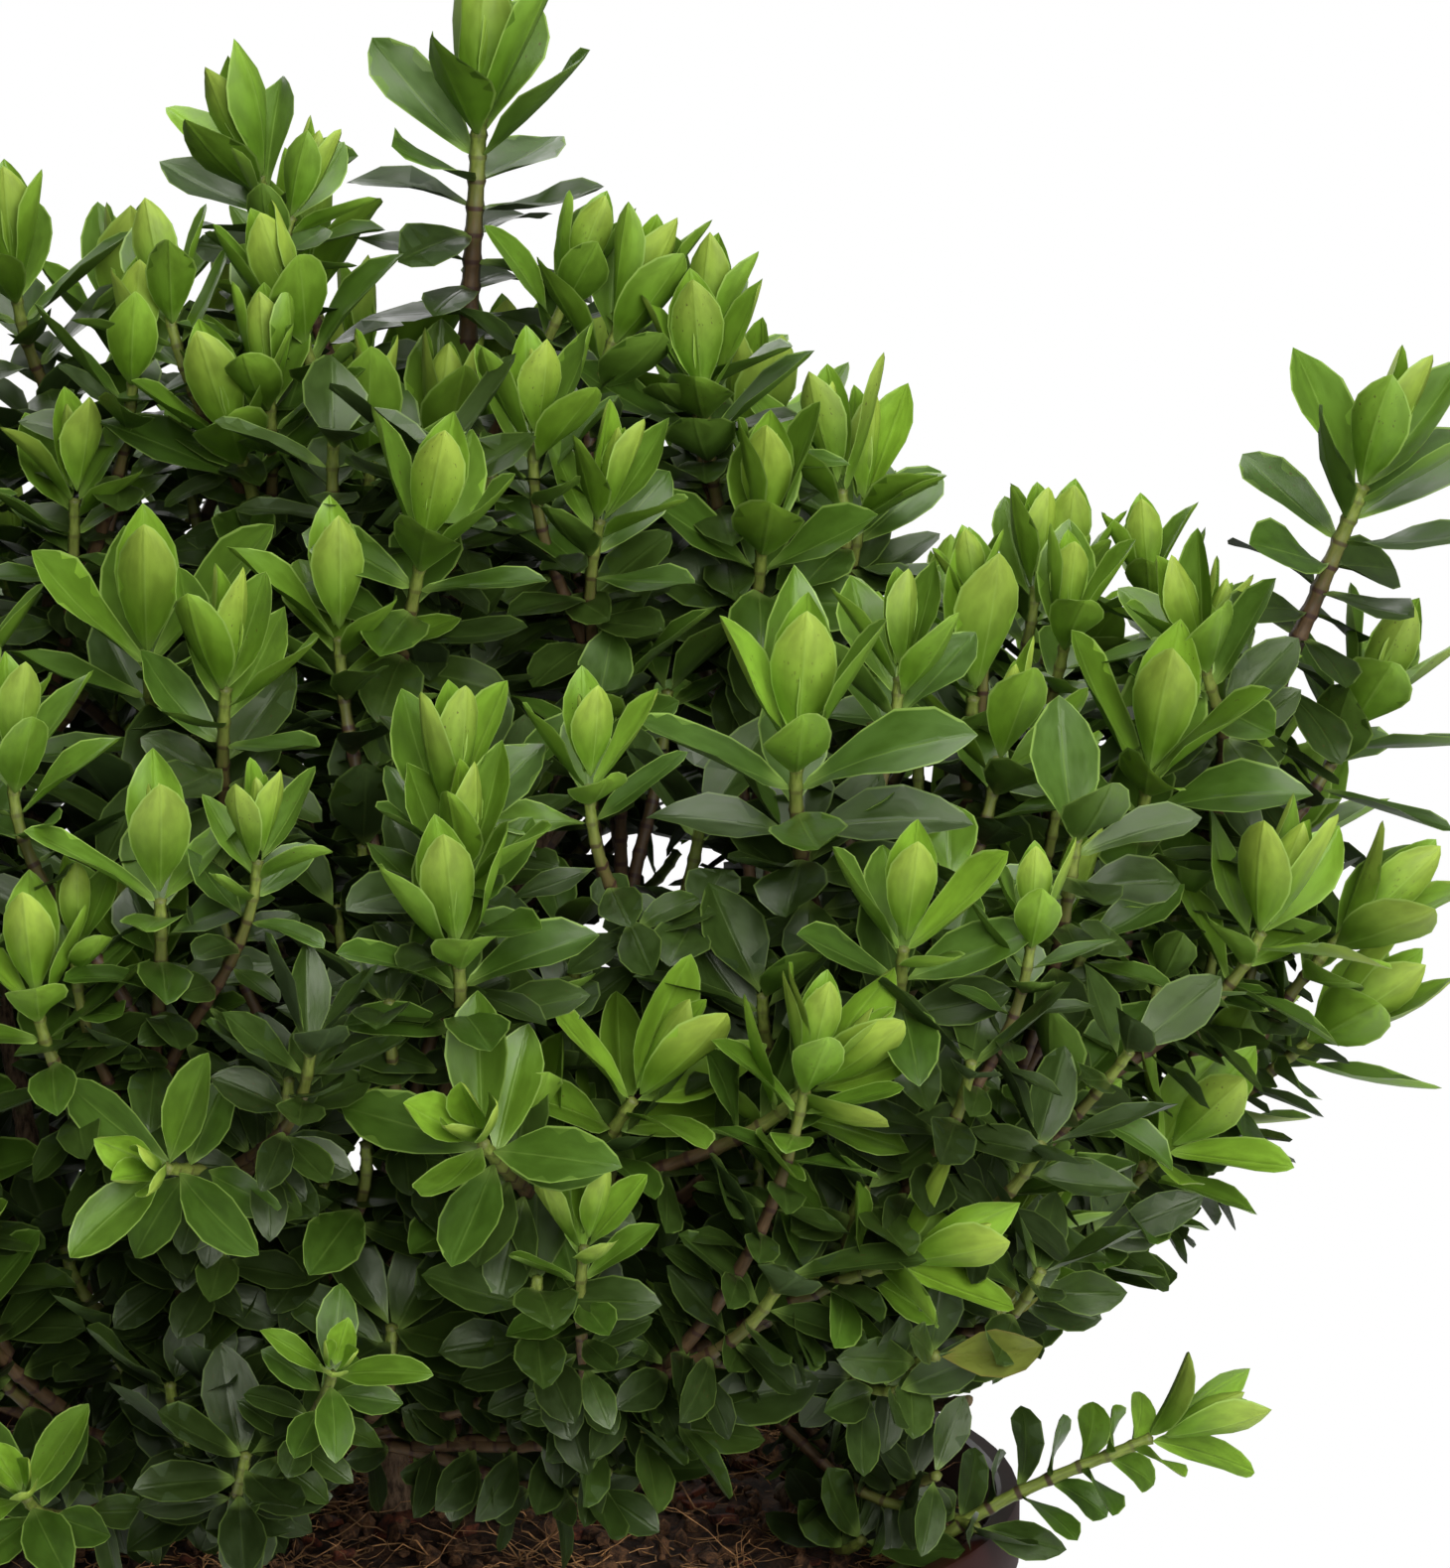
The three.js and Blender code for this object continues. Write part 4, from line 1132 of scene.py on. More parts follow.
def filling_shoots(settings, tree, taken):
    """Shoots all over the rest of the crown, no closer than the spacing. Where the named shoots show, only
    shaded ones stand deeper in between them."""
    random = np.random.default_rng(settings.seed)
    places = crown_places(random)
    tips = [shoot["tip"] for shoot in taken]
    gaps, stars = closed_places(taken)
    found = []
    for place in places:
        outward = unit(place - HEART)
        if place[2] < LOWEST_TIP or outward[2] < NO_SHOOTS:
            continue
        if tree.ray_cast(Vector(place + outward * 0.003), Vector(outward), OPEN_REACH)[0] is not None:
            continue
        steep = math.degrees(math.acos(np.clip(outward[2], -1, 1)))
        lean = np.interp(steep, *LEAN_RULE) + random.normal(0, LEAN_SWAY)
        level = unit(np.array((outward[0], outward[1], 0.0)) + random.normal(0, LEVEL_SWAY, 3) * (1, 1, 0))
        shaded = bool(shows_in_front(place, outward, tree))
        lean = math.radians(np.clip(lean * (SHADED_LEAN if shaded else 1.0), 0, MOST_LEAN))
        heading = unit(UPRIGHT * math.cos(lean) + level * math.sin(lean))
        if shaded and place[1] < 0 and place[2] < LOWEST_SHADED:
            continue
        if shaded:
            depth = INNER_DEPTH * random.uniform(*DEPTHS)
        else:
            depth = LEAF_ROOM * np.linalg.norm(np.cross(heading, outward))
        tip = place - outward * depth
        shown = picture_place(tip)
        closed = gaps + stars if shaded else gaps
        if any(math.dist(shown, gap[:2]) < gap[2] for gap in closed) or below_crown(tip - heading * 0.02):
            continue
        spacing = settings.spacing * SPACINGS[0 if shaded else 1 if outward[2] > UNDER_CROWN else 2]
        if np.linalg.norm(np.array(tips) - tip, axis=1).min() < spacing:
            continue
        tips.append(tip)
        found.append(
            {
                "tip": tip,
                "heading": heading,
                "size": random.uniform(*FILLING_SIZES[shaded]),
                "opening": random.uniform(*FILLING_OPENINGS[shaded]),
                "kind": "shade" if shaded else "leafy",
                # Painted light and shade: a shaded shoot's leaves look older, darker on the left and less so
                # on the right
                "age": random.uniform(*painted_light_and_shade_ages(place)) if shaded else 0.0,
                "named": False,
            }
        )
    return found


def limb_paths():
    """The paths and headings of all the limbs that can bear shoots."""
    limbs = [(stem_curve(name), 1.0) for name in WOODY]
    limbs += [(bough_curve(name), TALL_FROM if name in TALL_BOUGHS else 1.0) for name in BOUGHS]
    curves = [quadratic(curve, np.linspace(0, until, SHOOT_POINTS)) for curve, until in limbs]
    paths = [even_steps(curve, LIMB_STEP)[0] for curve in curves]
    return [path[2:] for path in paths], [unit(np.gradient(path, axis=0))[2:] for path in paths]


def best_foot(shoot, apex, bearers, headings):
    """Where a shoot leaves the wood: near its apex, and where it needs to turn the least."""
    wood, along = np.concatenate(bearers), np.concatenate(headings)
    gap = apex - wood
    distance = np.linalg.norm(gap, axis=1)
    turned = 1 - (unit(gap) * shoot["heading"]).sum(1)
    cost = distance + TURN_COST * turned + np.where(distance < SHORTEST_SHOOT, SHORT_COST, 0.0)
    best = int(np.argmin(cost))
    return wood[best], distance[best], unit(along[best] + unit(gap[best]) + shoot["heading"] * AIM)


def grow_shoots(context):
    """Every shoot, with the path of its stem from the limb or shoot that bears it to its apex."""
    settings, leaf = context.scene.hebe_crown, context.scene.hebe_leaf
    tree = foliage_tree()[0]
    tables = {"leafy": FRONT_SHOOTS, "shade": SHADE_SHOOTS, "tall": TALL_SHOOTS, "trailing": TRAILING_SHOOTS}
    shoots = [placed_shoot(row, tree, kind) for kind, rows in tables.items() for row in rows]
    shoots += filling_shoots(settings, tree, shoots)
    bearers, headings = limb_paths()
    own_limbs = [(bough_curve(name), TALL_FROM) for name in TALL_BOUGHS]
    own_limbs.append((stem_curve("trailing"), TRAILING_FROM))
    random = np.random.default_rng(settings.seed + 1)
    single = [shoot for shoot in shoots if shoot["kind"] in LONE_KINDS]
    others = [shoot for shoot in shoots if shoot["kind"] not in LONE_KINDS]
    for shoot in single + sorted(others, key=lambda shoot: np.linalg.norm(shoot["tip"] - HEART)):
        apex = shoot["tip"] - shoot["heading"] * leaf.length * BUD_LENGTH * shoot["size"]
        if shoot["kind"] in LONE_KINDS:
            limb, start = own_limbs.pop(0)
            foot, beyond = quadratic(limb, [start, start + 0.01])
            reach, leave = np.linalg.norm(apex - foot), unit(beyond - foot)
        else:
            foot, reach, leave = best_foot(shoot, apex, bearers, headings)
        bends = (foot + leave * reach * FOOT_PULL, apex - shoot["heading"] * reach * APEX_PULL)
        curve = cubic((foot, *bends, apex), np.linspace(0, 1, SHOOT_POINTS))
        path, places = even_steps(curve, SHOOT_STEP)
        shoot["path"], shoot["length"] = path, places[-1]
        shoot["turn"] = shoot.get("turn", random.uniform(0, math.pi))
        shoot["seed"] = shoot.get("seed", int(random.integers(1 << 30)))
        shoot["grown"] = len(bearers)
        if shoot["kind"] != "trailing":
            lower = path[: max(3, int(len(path) * BEARING))]
            bearers.append(lower)
            headings.append(unit(np.gradient(path, axis=0))[: len(lower)])
    return shoots


def shoot_nodes(shoot, internode):
    """Distances of the shoot's pairs of leaves from its apex, down to its foot."""
    step = internode * (0.94 + 0.12 * shoot["size"])
    if shoot["kind"] == "trailing":
        step *= TRAILING_STEP
    places = [share * step for share in PAIR_PLACES]
    while places[-1] + step < shoot["length"] - 0.002:
        places.append(places[-1] + step)
    return np.array([place for place in places if place < shoot["length"] - 0.002])


def along_from_apex(shoot, distances):
    """Places and headings on the shoot's stem at these distances from its apex."""
    path = shoot["path"][::-1]
    lengths = lengths_along(path)
    heading = -unit(np.gradient(path, axis=0))
    return read_off(distances, lengths, path), unit(read_off(distances, lengths, heading))


class HEBE_OT_shoots(bpy.types.Operator):
    """The stems of all the shoots, ringed at every pair of leaves"""

    bl_idname = "hebe.shoots"
    bl_label = "Shoots"

    def execute(self, context):
        settings = context.scene.hebe_crown
        others, trailing = Gathered(), Gathered()
        for shoot in grown(context)[0]:
            self.stem(trailing if shoot["kind"] == "trailing" else others, shoot, settings)
        material = shoot_material("shoot stem", settings, 7.5)
        finish_piece(others.mesh_object("shoot_stems"), material)
        self.trailing_stem(trailing, settings)
        piece = trailing.mesh_object("trailing_stem")
        material = shoot_material("trailing shoot stem", settings, 24.0)
        finish_piece(piece, material, ["stem_trailing"])
        return {"FINISHED"}

    def stem(self, gathered, shoot, settings):
        """One shoot's stem. Its rings of points stand closer at each pair of leaves."""
        nodes = shoot_nodes(shoot, settings.internode)
        thick = settings.shoot_radius * (0.6 + 0.4 * shoot["size"])
        thick *= TALL_GIRTH if shoot["kind"] == "tall" else 1.0
        rings = []
        for number, node in enumerate(nodes[2:]):
            after = nodes[number + 3] if number + 3 < len(nodes) else shoot["length"]
            width = thick * (1 + 0.55 * min(1.0, node / 0.1))
            ringed = number < RINGED_NODES or shoot["kind"] in LONE_KINDS
            for share, swell in ((0.0, 1.16), (0.25, 0.96), (0.7, 1.0)) if ringed else ((0.0, 1.05),):
                rings.append((node + share * (after - node), width * swell, (number + share) / RING_ROWS))
        lowest = shoot["top"] - settings.internode * 0.5
        rings = np.array([ring for ring in rings if lowest <= ring[0] <= shoot["length"]][::-1])
        if len(rings) > 1:
            sides = 10 if shoot["kind"] == "trailing" else 5
            add_tube(gathered, along_from_apex(shoot, rings[:, 0])[0], rings[:, 1], sides, rings[:, 2])

    def trailing_stem(self, gathered, settings):
        """The thin green stem that runs out over the pot's rim, swollen at each of its rings."""
        curve = quadratic(stem_curve("trailing"), np.linspace(0, TRAILING_FROM + 0.05, 80))
        path, places = even_steps(curve, 0.0009)
        back = (places[-1] - places) / (settings.internode * TRAILING_STEP)
        swelling = np.exp(-(((back + 0.5) % 1.0 - 0.5) / 0.1) ** 2)
        radii = settings.shoot_radius * (1.0 + 0.18 * swelling + 0.3 * (1 - places / places[-1]))
        add_tube(gathered, path, radii, 10, back / RING_ROWS)


# ---- leaves ----
def pair_shape(place):
    """Length, half width, roll, foot angle and tip angle of the leaves at this place down a shoot."""
    table = np.array(PAIRS)
    place = np.clip(place, 0, len(table) - 1)
    return [np.interp(place, np.arange(len(table)), table[:, column]) for column in range(table.shape[1])]


SHAPE_FACTS = "foot axis outward length half roll start end twist tile age chance fold"
Leaf = namedtuple("Leaf", SHAPE_FACTS + " named alone shows order node tip")


def leaf_shape(shoot, number, age, star):
    """Length, half width, roll, foot angle, tip angle and fold of the leaves of one pair."""
    size, wide, roll, start, end, fold = STAR_PAIRS[number] if star else pair_shape(age)
    if shoot["kind"] == "tall":
        larger = np.interp(number, *TALL_SIZES)
        size, wide = size * larger, wide * larger
        if number > 4:
            start, end = start + TALL_SPREAD[0], end + TALL_SPREAD[1]
    if shoot["kind"] == "trailing" and number > 2:
        size = wide = np.interp(number, *TRAILING_SIZES)
        start, end = TRAILING_ANGLES
    return size, wide, roll, start, end, fold


def leaf_tip(leaf):
    angle = (leaf.start + leaf.end) / 2
    return leaf.foot + (leaf.axis * math.cos(angle) + leaf.outward * math.sin(angle)) * leaf.length


def deal_leaves(context, shoots):
    """Every leaf of every shoot. A leaf has its shoot's number, its distance from the apex and its tip."""
    settings, sizes = context.scene.hebe_crown, context.scene.hebe_leaf
    for order, shoot in enumerate(shoots):
        kind = shoot["kind"]
        random = np.random.default_rng(shoot["seed"])
        nodes = shoot_nodes(shoot, settings.internode)
        if kind in ("leafy", "shade"):
            nodes = nodes[nodes < settings.leafy_length * random.uniform(*LEAFY_LENGTHS)]
        places, headings = along_from_apex(shoot, nodes)
        spray_tint = int(random.integers(MAP_ROWS))
        stage = shoot["seed"] % 100 / 100.0
        for number, (place, axis) in enumerate(zip(places, headings)):
            level = unit(np.cross(axis, (0.0, 1.0, 0.12)))
            other = np.cross(axis, level)
            turn = shoot["turn"] + number * math.pi / 2 + random.normal(0, PAIR_SWAY)
            age = number + shoot["opening"] * 1.6 * min(1.0, number / 2.0)
            age += 0.7 * stage if number == 0 else 0.5 * stage - 0.25
            star = shoot["opening"] > STAR_OPENING and number < len(STAR_PAIRS)
            size, wide, roll, start, end, fold = leaf_shape(shoot, number, age, star)
            sway = 1.0 if number > 1 else BUD_SWAY
            for half in (0, 1):
                below = number - OLD_PAIR
                if below > 0 and random.random() < DROPPED[0] + DROPPED[1] * below:
                    continue
                if kind == "shade" and number < BUDLESS_PAIRS:
                    continue
                spin = turn + half * math.pi + random.normal(0, SPIN_SWAY)
                outward = level * math.cos(spin) + other * math.sin(spin)
                twist = random.normal(0, TWIST_SWAY * sway) * (STAR_TWIST if star else 1.0)
                if kind in FACE_TURNS and number > 2:
                    twist -= FACE_TURNS[kind] * np.sign(np.cross(axis, outward).dot(LIT_FROM))
                leaf = Leaf(
                    foot=place + outward * settings.shoot_radius * 0.7,
                    axis=axis,
                    outward=outward,
                    length=sizes.length * size * shoot["size"] * random.normal(1, SIZE_SWAY * sway),
                    half=sizes.width * 0.5 * wide * shoot["size"] * random.normal(1, SIZE_SWAY * sway),
                    roll=math.radians(roll * np.clip(random.normal(1, ROLL_SWAY * sway), *ROLL_LIMITS)),
                    start=math.radians(start + random.normal(0, FOOT_SWAY * sway)),
                    end=math.radians(end + random.normal(0, TIP_SWAY * sway)),
                    twist=math.radians(twist),
                    tile=(int(random.integers(MAP_TINTS)), spray_tint),
                    # the age takes in the shoot's painted light or shade
                    age=number + shoot["age"] + (STAR_AGE if star and number > 1 else 0.0),
                    chance=random.random(),
                    named=shoot["named"],
                    fold=math.radians(fold * random.normal(1, FOLD_SWAY)),
                    alone=kind in LONE_KINDS,
                    shows=shoot["named"] and kind != "shade",
                    order=order,
                    node=nodes[number],
                    tip=None,
                )
                yield leaf._replace(tip=leaf_tip(leaf))


def clear_of_pot(foot, end):
    """False for a leaf that would lie in the compost or cut the pot's wall."""
    for share in (0.4, 0.7, 1.0):
        point = foot + (end - foot) * share
        away = math.hypot(point[0], point[1])
        if away < POT_RIM_RADIUS + 0.002 and point[2] < STEM_BASE + 0.004:
            return False
        if POT_RIM_RADIUS - 0.006 < away < POT_RIM_RADIUS + 0.002 and point[2] < POT_HEIGHT + 0.001:
            return False
    return True


def in_crown(point, tree):
    """False for a point that stands too far out of the masses of foliage."""
    near, normal, _, distance = tree.find_nearest(Vector(point))
    return distance < LEAF_OVERHANG or (Vector(point) - near).dot(normal) < 0


def off_leaf(leaf, spots):
    """How far these spots of the picture are from a leaf's middle line, and how wide half the leaf shows."""
    first, last = (np.array(picture_place(point)) for point in (leaf.foot, leaf.tip))
    along, gaps = last - first, spots - first
    share = np.clip(gaps @ along / max(along.dot(along), 1e-9), 0, 1)
    half = leaf.half * FOCAL_PIXELS / np.linalg.norm(leaf.foot - CAMERA_PLACE)
    return np.linalg.norm(gaps - share[:, None] * along, axis=1), half


def blocks_sky(leaf):
    """True for a leaf that would lie across a place where the sky shows through the crown."""
    gaps = np.array(SKY_GAPS, float)
    distance, half = off_leaf(leaf, gaps[:, :2])
    return bool((distance < gaps[:, 2] + half * SKY_SHARE).any())


def below_crown(point):
    """True for a point that shows in the open space below the crown, right of the pot."""
    across, down = picture_place(point)
    edge = np.interp(across, *LOWER_EDGE) + EDGE_ROOM
    return across > LOWER_EDGE[0][0] and down > edge and point[2] > POT_HEIGHT + LEAF_OVERHANG


def buds_seen(shoots):
    """Where the buds of the named shoots show: across, down, how wide, and how far from the camera."""
    rows = []
    for shoot in shoots:
        if not shoot["named"] or shoot["kind"] == "shade":
            continue
        apex = shoot["path"][-1]
        if shoot["opening"] > STAR_OPENING:
            middle, room, depth = apex, STAR_ROOM, STAR_DEPTH
        else:
            middle, room, depth = 0.5 * (shoot["tip"] + apex), BUD_ROOM, BUD_DEPTH
        away = np.linalg.norm(middle - CAMERA_PLACE) + depth
        rows.append((*picture_place(middle), room * shoot["size"], away))
    return np.array(rows)


def hides_bud(leaf, buds):
    """True for a leaf that would lie in front of the bud of a named shoot."""
    if np.linalg.norm(leaf.foot - CAMERA_PLACE) > buds[:, 3].max():
        return False
    distance, half = off_leaf(leaf, buds[:, :2])
    middle = np.linalg.norm((leaf.foot + leaf.tip) / 2 - CAMERA_PLACE)
    return bool(((distance < buds[:, 2] + half * BUD_SHARE) & (middle < buds[:, 3])).any())


def bud_lines(shoots):
    """The middle lines of all the buds: their feet, their tips, how wide they are, and their shoots."""
    budded = [order for order, shoot in enumerate(shoots) if shoot["kind"] != "shade"]
    feet = np.array([shoots[order]["path"][-1] for order in budded])
    tips = np.array([shoots[order]["tip"] for order in budded])
    return feet, tips, BUD_WIDTH * np.array([shoots[order]["size"] for order in budded]), np.array(budded)


def passes_bud(leaf, lines):
    """True for a leaf that would pass through the bud of another shoot."""
    feet, tips, wide, orders = lines
    spots = leaf.foot + np.linspace(0.3, 1.0, 6)[:, None] * (leaf.tip - leaf.foot)
    along = tips - feet
    gaps = spots[:, None] - feet
    share = np.clip((gaps * along).sum(-1) / (along * along).sum(-1), 0.1, 0.95)
    away = np.linalg.norm(gaps - share[..., None] * along, axis=-1).min(0)
    return bool(((away < wide) & (orders != leaf.order)).any())


def leaf_template(rows, places, creased):
    """Faces of one leaf, their corners' places on the map, and which of its edges are sharp: its margin, and
    its upper midrib where the leaf is creased."""
    columns, count = len(places), len(rows)
    per_row = columns + columns - 2
    base, tip = count * per_row, count * per_row + 1

    def point(side, row, column):
        under = side == 1 and 0 < column < columns - 1
        return row * per_row + column + (columns - 1 if under else 0)

    def corner(side, row, column):
        return point(side, row, column), (places[column], rows[row][0], side)

    faces = []
    for side, step in ((0, 1), (1, -1)):
        for left, right in zip(range(columns - 1), range(1, columns)):
            middle = (places[left] + places[right]) / 2
            strip = []
            for low, high in zip(range(count - 1), range(1, count)):
                strip.append([(low, left), (low, right), (high, right), (high, left)])
            strip = [[corner(side, *spot) for spot in face] for face in strip]
            foot, end = (base, (middle, 0.0, side)), (tip, (middle, 1.0, side))
            strip.append([foot, corner(side, 0, right), corner(side, 0, left)])
            strip.append([corner(side, count - 1, left), corner(side, count - 1, right), end])
            faces += [face[::step] for face in strip]
    indices, maps = ([[entry[part] for entry in face] for face in faces] for part in (0, 1))
    sharp = np.zeros((tip + 1, tip + 1), bool)
    for column in (0, columns - 1, columns // 2) if creased else (0, columns - 1):
        line = [base] + [point(0, row, column) for row in range(count)] + [tip]
        sharp[line[:-1], line[1:]] = sharp[line[1:], line[:-1]] = True
    return indices, maps, sharp


def leaf_points(leaves, rows, columns, thickness):
    """Points of many leaves at once. A blade curves along its midrib, and is folded and rolled round it."""

    def told(names):
        return (np.array([getattr(leaf, name) for leaf in leaves]) for name in names.split())

    foot, axis, outward = told("foot axis outward")
    scalars = told("length half roll start end twist chance fold")
    length, half, roll, start, end, twist, wave, fold = (values[:, None] for values in scalars)
    shares, widths = np.array(rows).T
    fine = np.linspace(0, 1, 33)
    angles = start + (end - start) * fine[None]
    step = length / 32.0
    forward = np.cumsum(np.cos(angles) * step, 1) - np.cos(angles) * step / 2
    sideways = np.cumsum(np.sin(angles) * step, 1) - np.sin(angles) * step / 2
    places = np.concatenate([shares, [1.0]])
    along_axis = np.stack([np.interp(places, fine, line) for line in forward])[..., None]
    along_side = np.stack([np.interp(places, fine, line) for line in sideways])[..., None]
    midrib = foot[:, None] + axis[:, None] * along_axis + outward[:, None] * along_side
    angle = (start + (end - start) * shares[None])[..., None]
    normal = axis[:, None] * np.sin(angle) - outward[:, None] * np.cos(angle)
    across = np.repeat(np.cross(axis, outward)[:, None], len(shares), 1)
    cosine, sine = (turned(twist * shares[None])[..., None] for turned in (np.cos, np.sin))
    across, normal = across * cosine + normal * sine, normal * cosine - across * sine
    columns = np.array(columns)
    away, side = np.abs(columns), np.sign(columns)
    theta = (fold + roll * away)[:, None] * np.ones_like(shares)[:, None]
    radius = (half * widths[None] / roll)[..., None]
    edge = fold[:, None]
    flat = radius * side * (np.sin(theta) - np.sin(edge))
    rise = radius * (np.cos(edge) - np.cos(theta))
    theta = theta * side
    ripple = np.sin(shares[None] * 8.0 + wave * 40.0)[..., None] * columns**2 * side * half[..., None] * 0.09
    across, normal = across[:, :, None], normal[:, :, None]
    blade = midrib[:, :-1, None] + across * flat[..., None] + normal * (rise + ripple)[..., None]
    facing = normal * np.cos(theta)[..., None] - across * np.sin(theta)[..., None]
    lift = thickness * 0.5 * np.where(away == 1, 0.0, 1.0)[None, None, :, None]
    points = np.concatenate([blade + facing * lift, (blade - facing * lift)[:, :, 1:-1]], 2)
    return np.concatenate([points.reshape(len(leaves), -1, 3), foot[:, None], midrib[:, -1:]], 1)


def leaf_piece(name, leaves, rows, columns, thickness, creased):
    """One mesh of many leaves, each with its own tile of the leaf map."""
    indices, maps, sharp = leaf_template(rows, columns, creased)
    points = leaf_points(leaves, rows, columns, thickness)
    each = points.shape[1]
    tints, sprays = np.array([leaf.tile for leaf in leaves]).T[..., None, None]
    gathered = Gathered()
    gathered.points.append(points.reshape(-1, 3))
    gathered.count = len(points) * each
    for corners in (4, 3):
        faces = np.array([face for face in indices if len(face) == corners])
        places = np.array([place for place in maps if len(place) == corners])
        across, along, side = (places[None, ..., part] for part in range(3))
        across = (tints * 2 + side + 0.5 + MAP_HALF * across) / (MAP_TINTS * 2)
        along = (sprays + MAP_FOOT + MAP_LENGTH * along) / MAP_ROWS
        shifted = (faces[None] + (np.arange(len(leaves)) * each)[:, None, None]).reshape(-1, corners)
        gathered.add_faces(shifted, np.stack([across, along], -1).reshape(-1, 2), 0)
    piece = gathered.mesh_object(name)
    mesh = piece.data
    ends = np.empty(len(mesh.edges) * 2, np.int32)
    mesh.edges.foreach_get("vertices", ends)
    ends = ends.reshape(-1, 2) % each
    edges = mesh.attributes.new("sharp_edge", "BOOLEAN", "EDGE")
    edges.data.foreach_set("value", sharp[ends[:, 0], ends[:, 1]])
    return piece


def kept_leaves(context, shoots):
    """The leaves that clear the pot, stay in the crown, and leave the sky and the named buds open."""
    tree = foliage_tree()[0]
    buds, lines = buds_seen(shoots), bud_lines(shoots)
    for leaf in deal_leaves(context, shoots):
        if not clear_of_pot(leaf.foot, leaf.tip) or not (leaf.named or in_crown(leaf.tip, tree)):
            continue
        if not (leaf.named and leaf.age < SHOWN_PAIRS) and not leaf.alone and blocks_sky(leaf):
            continue
        if not leaf.shows and hides_bud(leaf, buds):
            continue
        if leaf.age > 1 and passes_bud(leaf, lines):
            continue
        if not leaf.named and leaf.tip[1] < 0 and leaf.tip[2] < LOWEST_LEAF:
            continue
        if not (leaf.named and leaf.age < EDGE_PAIRS) and not leaf.alone and below_crown(leaf.tip):
            continue
        yield leaf


def without_lone_leaves(leaves):
    """Leaves out the lone leaves above a shoot's topmost whole pair, but not on the shoots that show."""
    tops = {}
    for (order, node), count in Counter((leaf.order, leaf.node) for leaf in leaves).items():
        if count == 2:
            tops[order] = min(node, tops.get(order, math.inf))
    return [leaf for leaf in leaves if leaf.shows or leaf.node >= tops.get(leaf.order, math.inf)]


def trim_shoots(shoots, leaves):
    """Ends each stem at its topmost leaf or at the topmost shoot that it bears. Bare ones go."""
    tops = np.full(len(shoots), np.inf)
    for leaf in leaves:
        tops[leaf.order] = min(tops[leaf.order], leaf.node)
    for bearer in sorted(range(len(shoots)), key=lambda order: -shoots[order]["grown"]):
        path, length = shoots[bearer]["path"], shoots[bearer]["length"]
        feet = np.array([shoot["path"][0] for shoot, top in zip(shoots, tops) if np.isfinite(top)])
        borne = np.linalg.norm(path[:, None] - feet[None], axis=2).min(1) < 1e-9
        borne[0] = False
        if borne.any():
            tops[bearer] = min(tops[bearer], length * (1 - np.nonzero(borne)[0].max() / (len(path) - 1)))
    for shoot, top in zip(shoots, tops):
        shoot["top"] = top


_kept = {}


def grown(context):
    """The shoots and the leaves that they keep, worked out once."""
    if not _kept:
        shoots = grow_shoots(context)
        leaves = without_lone_leaves(list(kept_leaves(context, shoots)))
        trim_shoots(shoots, leaves)
        _kept.update(shoots=[shoot for shoot in shoots if np.isfinite(shoot["top"])], leaves=leaves)
    return _kept["shoots"], _kept["leaves"]


class HEBE_OT_leaves(bpy.types.Operator):
    """All the leaves, joined by age and painted shade into a few meshes"""

    bl_idname = "hebe.leaves"
    bl_label = "Leaves"

    def execute(self, context):
        settings = context.scene.hebe_leaf
        leaves = grown(context)[1]
        faded = self.faded(leaves)
        kinds = {kind: [] for kind in LEAF_LOOKS}
        for place, leaf in enumerate(leaves):
            kinds["faded" if place in faded else self.kind_of(leaf)].append(leaf)
        materials = {kind: self.material(kind, settings) for kind in LEAF_LOOKS}
        masses = [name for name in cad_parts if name.startswith("foliage_")]
        for kind, rows in kinds.items():
            shape = FULL_ROWS if kind in ("bud", "young") else SHORT_ROWS
            columns = SHORT_COLUMNS if kind in ("dark", "deep", "faded") else FULL_COLUMNS
            each = len(shape) * 4 * (len(columns) - 1)
            parts = max(1, math.ceil(len(rows) / (MOST_TRIANGLES // each)))
            for part in range(parts):
                name = f"leaves_{kind}" + (f"_{part + 1}" if parts > 1 else "")
                piece = leaf_piece(name, rows[part::parts], shape, columns, settings.thickness, kind != "bud")
                finish_piece(piece, materials[kind], masses if kind == "dark" and part == 0 else ())
        return {"FINISHED"}

    def faded(self, leaves):
        """The leaves that are nearest to the camera at the places of the yellowed ones."""
        middles = np.array([(leaf.foot + leaf.tip) / 2 for leaf in leaves])
        shown = np.array([picture_place(middle) for middle in middles])
        near = np.linalg.norm(middles - CAMERA_PLACE, axis=1)
        beside = [np.linalg.norm(shown - spot, axis=1) >= FADED_ROOM for spot in FADED_LEAVES]
        return [int(np.argmin(near + far)) for far in beside]

    def kind_of(self, leaf):
        age = leaf.age + leaf.chance * 1.2
        for kind, oldest in OLDEST.items():
            if age < oldest:
                return kind
        # Painted shade: the leaves that don't show, low on the left, and the oldest get the deep colour
        shaded = not leaf.shows and leaf.tip[0] < SHADE_SIDE and leaf.tip[2] < PAINTED_DEEP_SHADE_HEIGHT
        return "deep" if age > PAINTED_DEEP_SHADE_AGE or shaded else "dark"

    def material(self, kind, settings):
        other, foot, edge, gloss, tints, shine = LEAF_LOOKS[kind]
        faces = (tuple(getattr(settings, kind)), linear(*other))
        upper, under = faces[::-1] if kind == "bud" else faces
        margin = linear(*FADED_MARGIN) if kind == "faded" else tuple(settings.margin)
        return leaf_material(f"leaf {kind}", upper, under, linear(*foot), margin, edge, gloss, tints, shine)


# ---- pot ----
def wall_radius(height):
    top = POT_RIM_RADIUS - POT_LIP_OUT
    return POT_BASE_RADIUS + (top - POT_BASE_RADIUS) * height / POT_HEIGHT


